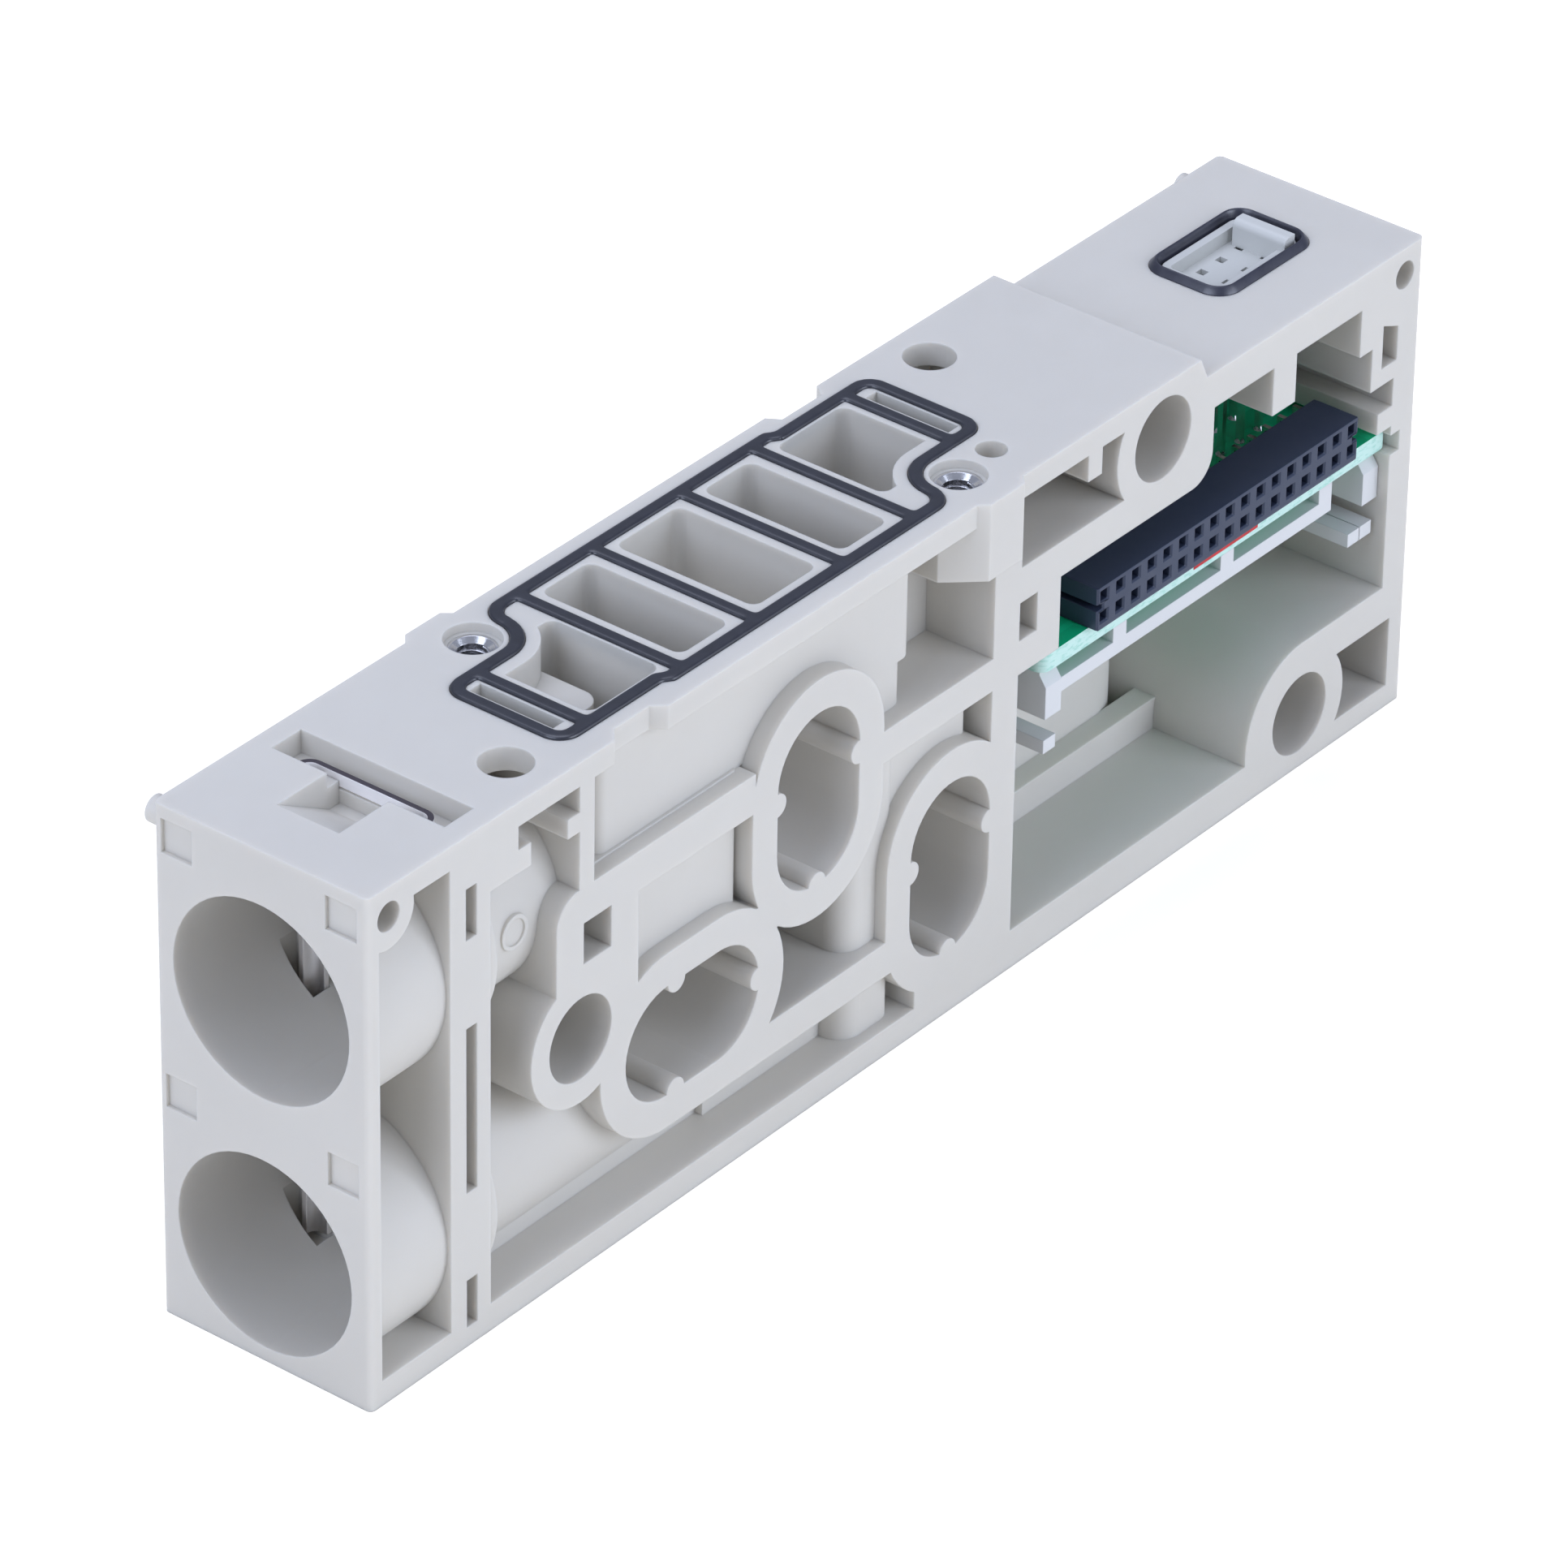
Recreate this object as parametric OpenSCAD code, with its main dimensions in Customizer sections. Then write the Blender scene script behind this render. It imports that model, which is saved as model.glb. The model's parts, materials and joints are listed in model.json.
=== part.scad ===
// Valve manifold block: one stackable station of a pneumatic valve manifold.
// Working frame of the modules: X runs from the port face to the rear, Y from the open
// ribbed side to the closed side, Z up from the flat base. seat() moves the finished
// pieces to the shared frame, whose origin is the bottom centre of the whole block.

/* [Block] */
// Length from the port face to the rear
body_l = 126.6; // [123:0.1:140]
// Width from the ribbed side to the closed side
body_w = 20; // [18:0.1:26]
// Height of the deck that carries the valve
valve_deck_h = 44.4; // [42:0.1:50]
// Height of the deck that carries the plug
plug_deck_h = 42.5; // [40.5:0.1:43.5]
// Thickness of both decks
deck_t = 2.05; // [1.5:0.05:3]
// Distance from the port face to the foot of the step between the decks
step_x = 98.3; // [96:0.1:102]
// Run of the sloping face of that step
step_run = 0.9; // [0.2:0.1:3]
// Thickness of the closed wall on the far side
far_wall_t = 1.7; // [1.2:0.1:3]
// Thickness of the bottom strip under the port end
base_t = 2.2; // [1.5:0.1:4]
// Thickness of the bottom strip under the board compartment
rear_base_t = 3.5; // [2:0.1:5]
// Thickness of the port face beside the port tubes
port_face_t = 1.25; // [1:0.05:3]
// Rounding of the upright rear edges
rear_round = 0.5; // [0.2:0.1:3]
// Rounding of the upright front edges
front_round = 0.5; // [0.2:0.1:2]

// Thickness of the rear wall of the board compartment
rear_wall_t = 3.2; // [2.6:0.1:4]

/* [Ports] */
// Height of the upper and lower port axes
port_z = [31.5, 9.5]; // [5:0.1:40]
// Distance of the port axes from the ribbed side
port_y = 10.07; // [8:0.01:12]
// Radius of the port bores
port_r = 8.3; // [6:0.05:9]
// Depth of the port bores
port_depth = 14.0; // [10:0.1:20]
// Thickness of the step between a port bore and its throat
port_step_t = 0.6; // [0.4:0.1:2]
// Outer radius of the front port tubes
port_tube_r = 9.7; // [8.5:0.05:10]
// Radius of the narrower bores behind the ports
throat_r = 6.6; // [4:0.05:8]
// Outer radius of the rear port tubes
throat_tube_r = 8.2; // [6:0.05:9]
// Where the rear tube of the upper port ends
upper_tube_end = 24; // [22:0.1:30]
// Where the upper and lower throats end
throat_end = [19.6, 24.4]; // [18.8:0.1:26]
// Centre of the round moulding mark on the upper rear tube, along and up
mark_disc_at = [18.2, 31.7]; // [14:0.1:40]
// Radius of that mark
mark_disc_r = 1.45; // [0.8:0.05:2]
// Width of the mark's rim
mark_ring_t = 0.35; // [0.2:0.05:0.5]
// Height of the rim above the tube
mark_ring_h = 0.15; // [0.1:0.05:0.3]
// Side of the square mark recesses in the port face
mark_side = 2.9; // [1:0.1:4]
// Depth of the mark recesses
mark_depth = 0.35; // [0.1:0.05:1]
// Lower left corners of the mark recesses, as width and height positions
mark_at = [[1.0, 40.35], [1.0, 18.4], [16.4, 40.35], [16.4, 18.4]]; // [0:0.1:45]

/* [Clip slot web] */
// Front face of the web that holds the clip
web_x0 = 8.95; // [8:0.05:12]
// Rear face of that web
web_x1 = 13.4; // [12:0.05:16]
// Front wall of the clip slot
slot_x = 10.7; // [10:0.05:11]
// Length of the leg slots along the block
slot_len = 1.9; // [1.8:0.05:2.2]
// Length of the wider recess at the deck
slot_mouth_len = 3.2; // [2.4:0.1:4]
// Depth of that recess
slot_mouth_depth = 2.0; // [1.5:0.1:2.3]
// Width of that recess across the block
slot_mouth_w = 16.2; // [15.4:0.1:18]
// Length of the ledge in front of the clip's web
slot_ledge_len = 1.3; // [0.5:0.1:1.5]
// Depth of that ledge
slot_ledge_depth = 1.3; // [0.8:0.1:1.6]
// Inner and outer distance of the leg slots from the port axes
leg_slot = [4.4, 7.6]; // [4:0.1:7.7]
// Lowest point of the leg slots
slot_floor_z = 1.7; // [1:0.1:4]
// Length of the side windows into the slots
side_window_len = 1.2; // [0.8:0.05:2]
// Lower and upper ends of the side windows
side_windows = [[35.5, 39.9], [13.6, 27.95], [1.7, 5.9]]; // [0:0.05:45]
// Near and far sides of the pry pocket in front of the clip
pry_y = [7.15, 12.95]; // [6:0.05:14]
// Start and foot of the pry pocket's ramp along the block
pry_ramp = [5.25, 10.9]; // [4:0.05:11.5]
// Depth of the pry pocket
pry_depth = 3.2; // [2.4:0.1:3.4]
// Wall that encloses the pry pocket under the deck
pry_wall = 1.0; // [0.6:0.1:1.5]

/* [Passages] */
// Radius of the three oval through passages
oval_r = 4.87; // [3:0.01:6]
// End centres of the lying exhaust passage
oval_a = [[33.6, 15.05], [39.45, 15.05]]; // [0:0.05:127]
// End centres of the upright supply passage
oval_b = [[51.1, 24.85], [51.1, 30.3]]; // [0:0.05:127]
// End centres of the upright rear exhaust passage
oval_c = [[67.4, 10.6], [67.4, 16.1]]; // [0:0.05:127]
// Wall round the passages
oval_wall = 2.9; // [1.5:0.1:4]
// Radius of the small lugs inside the passages
lug_r = 1.0; // [0.5:0.05:1.5]
// Distance of the side lugs from the end of a passage
lug_from_end = 5.85; // [3:0.05:8]
// Axes of the front and upper tie rod bores, along and up
tie_at = [[23.55, 20.45], [92.85, 39.5]]; // [0:0.05:100]
// Axis of the rear tie rod bore, as distance from the rear and height
tie_rear = [13.9, 5.05]; // [4:0.05:18]
// Radius of the tie rod bores
tie_r = 3.55; // [2:0.05:5]
// Outer radii of the tie rod bosses
tie_boss_r = [5.6, 5.75, 5.8]; // [4:0.05:8]
// Centre height and near edge of the hidden duct behind the upper port
upper_duct = [15.7, 2.0]; // [1:0.1:16]
// Where the duct behind the upper port ends
upper_duct_end = 41; // [40:0.1:44]
// Front side, rear side, near side, floor and roof of the hidden duct behind the lower port
lower_duct = [57.6, 60.9, 7.7, 3.6, 7.6]; // [3:0.1:62]
// Corners and sizes of the two pilot passages, along and up
pilot_at = [[23.85, 26.8, 3.15, 3.55], [75.3, 29.7, 2.2, 3.4]]; // [0:0.05:127]

/* [Ribbed side] */
// Rear end of the pockets in front of the board compartment
pockets_x1 = 72.15; // [71.5:0.05:73]
// Lip of the pockets' floor above the bottom strip
floor_lip = 0.2; // [0.1:0.05:0.5]
// Block round the front pilot passage: front, lower, rear and upper limits
pilot_block = [20.8, 22, 30.1, 31]; // [20:0.05:32]
// Rounding of that block's upper front corner
pilot_block_r = 2.5; // [1:0.1:3]
// Rear and upper limits of the shelf on that block
pilot_shelf = [43.6, 33.45]; // [33:0.05:44]
// Rib from the shelf to the deck: front, lower, rear and upper limits
pilot_rib = [23.35, 33.3, 25.0, 44]; // [23:0.05:44]
// Web between the front tie rod bore and the pilot block
tie_web = [23.55, 16.5, 30.1, 26]; // [16:0.05:31]
// Short bar between the lying and the upright passage
link_bar = [43.6, 18.6, 46.6, 21.4]; // [18:0.05:47]
// Long bar over the lower duct
low_bar = [33.6, 7.3, 61, 10.35]; // [7:0.05:62]
// Bar from the supply passage to the board compartment
mid_bar = [56, 26.8, 73, 29.65]; // [26:0.05:74]
// Foot of the wall in front of the board compartment
rear_foot = [63.4, 1, 73, 10]; // [1:0.05:74]
// Tip that hangs beside the pilot rib
hook_tip = [22, 38.5, 24, 40.15]; // [22:0.05:41]
// Two steps of the bracket behind the clip's web
bracket_low = [13, 38.4, 17.9, 40.35]; // [12:0.05:41]
// Upper step of that bracket
bracket_high = [13, 40.3, 16.5, 44]; // [12:0.05:44]
// Floor and rear end of the pocket beside the upper tie rod bore
upper_pocket_at = [36.2, 89]; // [36:0.1:90]
// Rib that hangs in that pocket
upper_rib = [83.4, 40, 85.1, 44]; // [39:0.05:86]

/* [Inner walls] */
// Ends of the wall round the chambers, along the block
panel_x = [27.25, 64.3]; // [27:0.05:65]
// Near face and lower end of that wall
panel_at = [1.65, 33.4]; // [1.4:0.05:33.6]
// Rounding of its near edges
panel_r = [1.15, 1.3]; // [0.8:0.05:1.5]
// Block of the front pilot slot: front, near and rear faces
slot_block = [24.9, 3.3, 27.4]; // [3:0.05:27.5]
// Ends of the neck between that wall and the pillar
neck_x = [56.1, 63.3]; // [55.9:0.05:63.6]
// Near face of the covers over the lying and the rear passage
cover_y = 1.4; // [1:0.05:2]
// Ends of the cover over the lying passage
cover_x = [25.0, 43.1]; // [24.8:0.05:43.5]
// Lower and upper ends of that cover
cover_z = [19.5, 33.6]; // [19:0.05:33.6]
// Rounding of that cover's near edges
cover_r = [1.3, 0.4]; // [0.3:0.05:1.6]
// Ends of the cover over the rear passage
rear_cover_x = [57.0, 71.3]; // [56.5:0.05:71.6]
// Lower and upper ends of that cover
rear_cover_z = [20.5, 29.0]; // [20:0.05:29.3]
// Ends of the pillar under the fourth chamber
pillar_x = [55.95, 62.0]; // [55.5:0.05:62.4]
// Near face of the pillar
pillar_y = 1.1; // [0.9:0.05:1.3]
// Rounding of the pillar's near edges
pillar_r = [2.0, 1.3]; // [1:0.05:2.4]
// Wall round the rear end chamber: front and near faces and lower end
end_wall = [64.2, 6.5, 20]; // [6:0.05:64.3]
// Its thicker part beside the insert boss: front, near and rear faces and lower end
bulge_wall = [66.0, 5.5, 67.7, 33]; // [5:0.05:68]
// Where the rear tube of the lower port ends
low_tube_end = 42; // [40:0.1:43]
// Near face and height of the foot under that tube
tube_foot = [4.1, 4.0]; // [3.5:0.05:4.6]
// Lower duct's case: front end, near face behind the tube and after it, rear end and height
duct_case = [24, 6.2, 3.4, 62.5, 9.2]; // [3:0.1:63]
// Front end, rear end, near face, lower and upper ends of the upper duct's case
upper_case = [20, 44, 12.2, 28.4, 34]; // [12:0.1:45]
// Rear end, near face and lower end of the block in the compartment's upper front corner
corner_block = [79.0, 7.0, 29]; // [6.5:0.1:79.2]

/* [Valve seat] */
// Width of the rubber cord of the valve gasket
cord_w = 1.15; // [0.8:0.05:1.5]
// Side clearance of the cord in its groove
cord_gap = 0.04; // [0:0.01:0.2]
// Depth of the groove
groove_d = 1.0; // [0.5:0.05:2]
// How far the gasket stands above the deck
cord_proud = 0.25; // [0.1:0.05:0.6]
// Left, right, near and far centre lines of the gasket
seat_box = [24.8, 78.6, 2.33, 18.12]; // [0:0.01:100]
// Centre line of the near run left of its jog
near_run_y = 2.9; // [2:0.05:4]
// Where the near run jogs sideways; the far run mirrors it
jog_x = 36.0; // [32:0.1:37]
// Half of the jog's length along the block
jog_half = 0.4; // [0.2:0.05:1]
// Centre line of the first cross cord, which is mirrored to the other end
end_bar_x = 27.72; // [27:0.01:29]
// Centre lines of the four cross cords between the chambers
bar_x = [37.82, 46.42, 56.67, 65.17]; // [36:0.01:67]
// Radius of the cord's corners
cord_corner_r = 1.3; // [1:0.05:2.5]
// Radius of the cord's bend round a threaded insert
bend_r = 3.25; // [2:0.05:5]
// Radius of the counter bend
counter_r = 1.75; // [1:0.05:3]
// Near and far sides of the full-width chambers
chamber_y = [3.7, 17.0]; // [3:0.05:17.4]
// Rounding of the chambers' upright corners
chamber_round = 0.9; // [0.3:0.05:1.2]
// Front and rear sides of the second, third and fourth chambers
chamber_x = [[39.2, 44.9], [47.8, 55.2], [58.0, 63.6]]; // [38:0.05:65]
// Floors of those chambers
chamber_floor = [29.5, 30, 33]; // [27:0.1:38]
// Front and rear sides of the front end chamber, which the rear one mirrors
end_chamber_x = [28.9, 37.0]; // [28:0.05:37.1]
// Far side of the front end chamber
end_chamber_far = 14.1; // [13:0.05:14.4]
// Radius of the solid land that keeps an end chamber clear of its insert
insert_land_r = 4.95; // [4.4:0.05:5.4]
// Plan of the duct under the front end chamber: front, rear, near and far sides
front_duct = [29.5, 36.4, 3.7, 11.6]; // [3:0.05:37]
// Plan of the duct under the rear end chamber: front, rear, near and far sides
rear_duct = [66.8, 72.2, 8.8, 16.7]; // [8:0.05:73]
// Lower ends of the ducts under the front and rear end chambers
duct_floor = [16, 14]; // [12:0.1:19]
// Floors of the front and rear pilot slots
pilot_floor = [28, 31]; // [27:0.1:33]
// Near and far sides of the front pilot slot, which the rear one mirrors
pilot_slot_y = [4.4, 12.3]; // [3:0.05:14]
// Front side and length of the front pilot slot
pilot_slot_x = [25.6, 1.3]; // [1:0.05:26]
// Depth where the end chambers narrow to their ducts
end_chamber_z = 37; // [35:0.1:39]
// Front edge, rear edge, near edge and height of the ledge inside the front chamber
chamber_ledge = [28.5, 34.6, 7.2, 41.4]; // [5:0.05:42]
// Rounding of the ledge's near corner
chamber_ledge_round = 1.6; // [0.5:0.1:2.4]

/* [Threaded inserts] */
// Centre of the front insert, along and across
insert_at = [31.2, 16.65]; // [10:0.05:80]
// Outer radius of an insert
insert_r = 1.9; // [1.5:0.05:3]
// Radius of its thread bore
insert_bore_r = 1.25; // [0.8:0.05:2]
// Length of an insert
insert_len = 5.2; // [3:0.1:5.8]
// Lead-in at the mouth of its bore
insert_lead = 0.4; // [0.1:0.05:0.5]
// Depth of the counterbore above an insert
insert_sink = 0.8; // [0.2:0.05:2]
// Radius of that counterbore
insert_mouth_r = 2.25; // [2:0.05:3]

/* [Deck holes] */
// Centre of the front locating hole, along and across
locate_a = [20.0, 4.1]; // [15:0.1:90]
// Centre of the rear locating hole, along and across
locate_b = [84.5, 16.2]; // [15:0.1:86]
// Radius of the locating holes
locate_r = 2.1; // [1:0.05:3]
// Centre of the small blind hole, along and across
dimple_at = [76.7, 4.2]; // [70:0.1:90]
// Radius of the small blind hole
dimple_r = 1.25; // [0.5:0.05:2]
// Depth of the small blind hole
dimple_depth = 1.6; // [0.5:0.1:1.8]

/* [Stacking keys] */
// Centre of the front locating pin, along and up
pin_front = [2.3, 41.9]; // [1.5:0.05:42.2]
// Centre of the rear locating pin, as distance from the rear and height
pin_rear = [2.4, 40.05]; // [1.5:0.05:41]
// Radius of the pins on the closed side
pin_r = 1.1; // [0.5:0.05:2]
// Length of the pins
pin_len = 1.9; // [1:0.1:4]
// Radius of the pin sockets on the ribbed side
socket_r = 1.2; // [0.6:0.05:2.2]
// Depth of the pin sockets
socket_depth = 2.6; // [1:0.1:6]
// Radius of the boss round the front pin socket
socket_boss_r = 2.75; // [2:0.05:4]
// How far the key ribs stand out
key_h = 0.75; // [0.3:0.05:1.5]
// Depth of the front key notch
notch_d = 1.05; // [0.9:0.05:1.5]
// Corners of that notch along the block: mouth, floor, floor, mouth
notch_x = [27.2, 28.4, 32.4, 33.3]; // [26:0.05:34]
// Corners of the insert boss's key along the block: foot, face, face, foot
boss_key_x = [69.6, 70.3, 74.4, 75.15]; // [68:0.05:76]
// Front end of that boss and the start of its slanted flank, along and across
boss_flank = [67.65, 2.1]; // [1:0.05:68]
// Depth of that boss from the ribbed side
boss_back_y = 8.0; // [6.6:0.1:9]
// Set-back of the boss behind its key
boss_foot_y = 0.2; // [0.1:0.05:0.5]
// Clearance between a key and its notch
key_clear = 0.35; // [0.1:0.05:0.4]
// Lower end of the key ribs
key_z = 37.7; // [30:0.1:42]

/* [Board compartment] */
// Front wall of the board compartment
bay_x = 75.3; // [74.6:0.1:76]
// Front ends of the middle and rear parts of its roof
roof_x = [80.35, 99.4]; // [79.6:0.05:101]
// Heights of the front, middle and rear parts of its roof
roof_z = [26.7, 33.1, 39.3]; // [26:0.05:39.6]
// Rounding of the corner between the middle and rear parts
roof_round = 2.5; // [1:0.1:3.5]
// Distances of the roof's rear steps from the rear of the block
roof_step_rear = [8.0, 6.3, 5.1]; // [4:0.1:9]
// Heights of those steps
roof_step_z = [39.3, 35.05, 31.1]; // [30:0.05:39.5]
// Lower face of the recess behind the board's rear end
rear_recess_z = 28.55; // [28:0.05:30]
// Front and rear faces and lower end of the rib that hangs from the roof
roof_rib = [107.1, 110.05, 35.0]; // [34:0.05:111]
// Radius of the arched wall over the third tie rod bore
bay_arc_r = 7.1; // [6.4:0.1:7.6]
// Drop of the arch's centre below the bore's axis
bay_arc_drop = 0.45; // [0.1:0.05:1]
// Near face and height of the thicker wall in the compartment
bay_wall = [11.1, 15.5]; // [9:0.1:16]
// Rear end of that wall and the rounding there
bay_wall_end = [106.2, 6.0]; // [3:0.1:107]
// Near face and height of the ledge at the foot of that wall
bay_ledge = [9.1, 6.3]; // [5:0.1:10]
// Hollow on the closed side behind that wall: front, rear, depth plane, floor and roof
bay_core = [77, 99, 12.7, 5.2, 14.0]; // [5:0.1:99.5]
// Lower and upper faces of the wedge pocket behind the third tie rod bore
wedge_z = [2.0, 8.35]; // [1.6:0.05:9]
// Thickness of the rear wall behind that pocket
wedge_rear = 2.0; // [1.2:0.1:3]
// Distances of the rear window's sides from the rear of the block
window_rear = [4.95, 2.93]; // [2.5:0.01:5.2]
// Lower edge, rear and front upper corners of the rear window
window_z = [32.65, 35.7, 36.55]; // [32:0.05:37]

/* [Plug seat] */
// Centre of the plug opening, as distance from the rear and from the ribbed side
plug_seat = [12.05, 10.05]; // [9:0.05:14]
// Outer length and width of the plug gasket
plug_ring = [12.6, 8.25]; // [8:0.05:14]
// Width of the plug gasket
plug_ring_w = 0.85; // [0.6:0.05:1]
// Outer corner radius of the plug gasket
plug_ring_r = 2.1; // [1.2:0.1:3]
// How far the plug gasket stands above its deck
plug_ring_proud = 0.6; // [0.1:0.05:1]
// Depth of the plug gasket's seat
plug_groove_d = 0.9; // [0.4:0.05:1.2]
// Length and width of the plug opening
plug_open = [10.7, 6.3]; // [5:0.1:11]
// Rounding of the plug opening's corners
plug_open_round = 1.2; // [0.5:0.1:2]
// Clearance round the plug connector
plug_fit = 0.05; // [0.02:0.01:0.2]
// Depth of the connector's floor below the deck
plug_sink = 1.3; // [1:0.1:2]
// Height of the connector's block under its floor
plug_block_h = 5.6; // [4:0.1:6.5]
// Thickness of the connector's rim
plug_rim_t = 0.7; // [0.4:0.05:1]
// Height of that rim above the floor
plug_rim_h = 1.2; // [0.6:0.1:1.6]
// Shift of the contact group from the opening's centre, along and across
plug_grid_shift = [0.65, -0.07]; // [-1:0.01:1]
// Pitch of the plug contacts
plug_pitch = 2.5; // [2:0.01:2.54]
// Side of the square contact holes
plug_hole = 0.75; // [0.65:0.05:1.2]
// Side of the square plug contacts
plug_pin = 0.5; // [0.3:0.05:0.6]
// Depth of the contact holes
plug_hole_depth = 3.0; // [2:0.1:3.5]
// How far the plug contacts reach below the board
plug_tail = 0.8; // [0.3:0.1:1.1]
// Front and rear faces of the keying plate, from the opening's centre
key_plate_x = [3.05, 4.35]; // [2.9:0.05:4.5]
// Width of the keying plate
key_plate_w = 5.05; // [3:0.05:5.5]
// Height of the keying plate above the floor
key_plate_h = 2.3; // [1.4:0.1:2.6]
// Rounding of its front upper edge
key_plate_round = 0.6; // [0.2:0.05:1]

/* [Circuit board] */
// Front end of the board
board_x0 = 79.8; // [79:0.1:81]
// Distance of the board's rear end from the rear of the block
board_rear = 2.1; // [1.5:0.1:2.5]
// Near edge of the board
board_y0 = 1.0; // [0.6:0.1:1.6]
// Clearance between the board and the closed side
board_far_gap = 0.2; // [0.1:0.05:0.6]
// Height of the board's upper face
board_z = 25.7; // [20:0.1:30]
// Thickness of the board
board_t = 1.6; // [1:0.1:2.4]
// Rounding of the board's corners
board_round = 1.0; // [0.2:0.1:3]
// Clearance of the board in its slot in the rear wall
board_fit = 0.12; // [0.05:0.01:0.3]

/* [Stack connectors] */
// Number of contacts in a row
ways = 17; // [4:1:24]
// Pitch of the contacts
pitch = 2.0; // [1.27:0.01:2.54]
// Place of the first contact along the block
first_way_x = 86.2; // [80:0.1:100]
// Housing length beyond the end contacts
end_land = 0.85; // [0.7:0.05:1.2]
// Height of the socket housing
socket_h = 3.8; // [3.4:0.1:4.2]
// Distance between the two rows of contacts
row_pitch = 1.85; // [1.7:0.01:2.0]
// Height of the middle between the rows above the board
row_mid_h = 2.0; // [1.8:0.05:2.1]
// Lower and upper edges of the grooves in the housing's ends, above the board
end_groove = [1.75, 2.3]; // [1:0.05:3]
// Depth of those grooves
end_groove_d = 0.7; // [0.2:0.05:0.75]
// Depth of the socket housing from face to back
socket_d = 4.3; // [3:0.1:9]
// Set-back of the socket face from the ribbed side
socket_face_y = 0.1; // [0:0.05:2]
// Side of the square contact holes
contact_hole = 0.9; // [0.4:0.05:1.2]
// Depth of the lead-in holes
contact_hole_depth = 3.2; // [1:0.1:4]
// Thickness of the contact blades
contact_t = 0.3; // [0.15:0.05:0.45]
// Width of the contact blades
contact_w = 0.4; // [0.3:0.05:0.6]
// Clearance round a contact or pin in its housing
contact_fit = 0.04; // [0.02:0.01:0.1]
// Distance of the upper and lower contact feet behind the housing
foot_gap = [1.1, 0.3]; // [0.2:0.05:1.6]
// Depth of the header base from front to back
header_d = 2.4; // [1.5:0.1:3]
// How far the header base enters the closed side
header_in = 0.4; // [0.1:0.05:0.8]
// Clearance of the header in its window
header_fit = 0.5; // [0.2:0.1:1]
// Side of the square header pins
header_pin = 0.5; // [0.3:0.05:0.8]
// How far the header pins reach past the closed side
header_reach = 3.4; // [2:0.1:6]

/* [Board carrier] */
// Distance of the rear posts from the rear of the block
bar_rear = 9.5; // [8:0.1:11]
// Lower and upper faces of the long bars
bar_z = [21.5, 22.8]; // [20:0.1:23]
// Depth of the long bars
bar_d = 2.0; // [1:0.1:4]
// Near edge of the carrier
carrier_y = 1.0; // [0.6:0.1:2]
// Clearance between the carrier and the closed side
carrier_far_gap = 0.1; // [0.05:0.05:0.4]
// Thickness of the end arms
arm_t = 2.0; // [1:0.1:2.2]
// Lower face of the end arms
arm_z = 19.85; // [19:0.05:21]
// Set-back and height of the chamfer on the near end of the arms
arm_chamfer = [0.65, 0.95]; // [0.2:0.05:1.2]
// Front face of the front end arm
arm_x0 = 80.25; // [79:0.05:81]
// Clearance of the carrier from the compartment's front and rear walls
arm_end_gap = 0.05; // [0.02:0.01:0.2]
// Front sides of the small posts under the board
post_x = [88.7, 102.5]; // [84:0.1:115]
// Length of a post
post_len = 1.7; // [1:0.1:3]
// Height and width of the lower rails
rail = [1.2, 1.5]; // [0.8:0.1:2]
// Lower face of the lower rails
rail_z = 16.8; // [15.8:0.1:18]
// Near sides of the two webs between an arm and its rail
rail_web_y = [5.2, 13.5]; // [3:0.1:15]
// Width of those webs
rail_web_w = 2.0; // [1:0.1:3]
// Width of the tongues that reach the compartment's end walls
tongue_w = 2.5; // [1:0.1:3]
// Near side of those tongues
tongue_y = 8.0; // [7.3:0.1:10]
// Near side of the link between the cross bar and the rear arm
link_y = 7.5; // [6:0.1:11]
// Gap between the two rear rails
rail_gap = 0.2; // [0.1:0.05:0.5]
// Height of the straight part between an arm's chamfer and the board
arm_neck_h = 0.45; // [0.2:0.05:0.8]

/* [Retaining clip] */
// Thickness of the clip's sheet
clip_t = 0.5; // [0.3:0.05:0.6]
// Clearance between the clip and the rear wall of its slot
clip_gap = 0.05; // [0.02:0.01:0.1]
// Clearance between a leg and the inner wall of its slot
leg_gap = 0.1; // [0.05:0.01:0.3]
// Half of the clip's width
clip_half = 6.3; // [5.8:0.05:7]
// Outer radius of the curled edge of a leg
clip_curl_r = 1.3; // [0.8:0.05:1.35]
// Height of the clip's top bar
clip_bar_h = 1.1; // [0.6:0.05:1.2]
// Depth of the top bar below the deck
clip_sink = 0.75; // [0.2:0.05:2]
// Lower end of the legs
clip_foot_z = 2.6; // [2:0.1:10]

/* [Side seals] */
// Width of the seal cords on the closed side
seal_w = 1.4; // [0.8:0.1:2]
// Land between a passage and its seal
seal_land = 0.9; // [0.5:0.05:2]
// Depth of the seal grooves
seal_groove_d = 1.0; // [0.5:0.1:1.4]
// How far the seals stand out
seal_proud = 0.3; // [0.1:0.05:0.6]
// Inner radius of the round pilot seals
pilot_seal_r = 2.6; // [2:0.1:3]
// Cord width of the pilot seals
pilot_seal_w = 1.1; // [0.8:0.1:1.5]

/* [Show] */
// Node to draw

/* [Hidden] */

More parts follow.
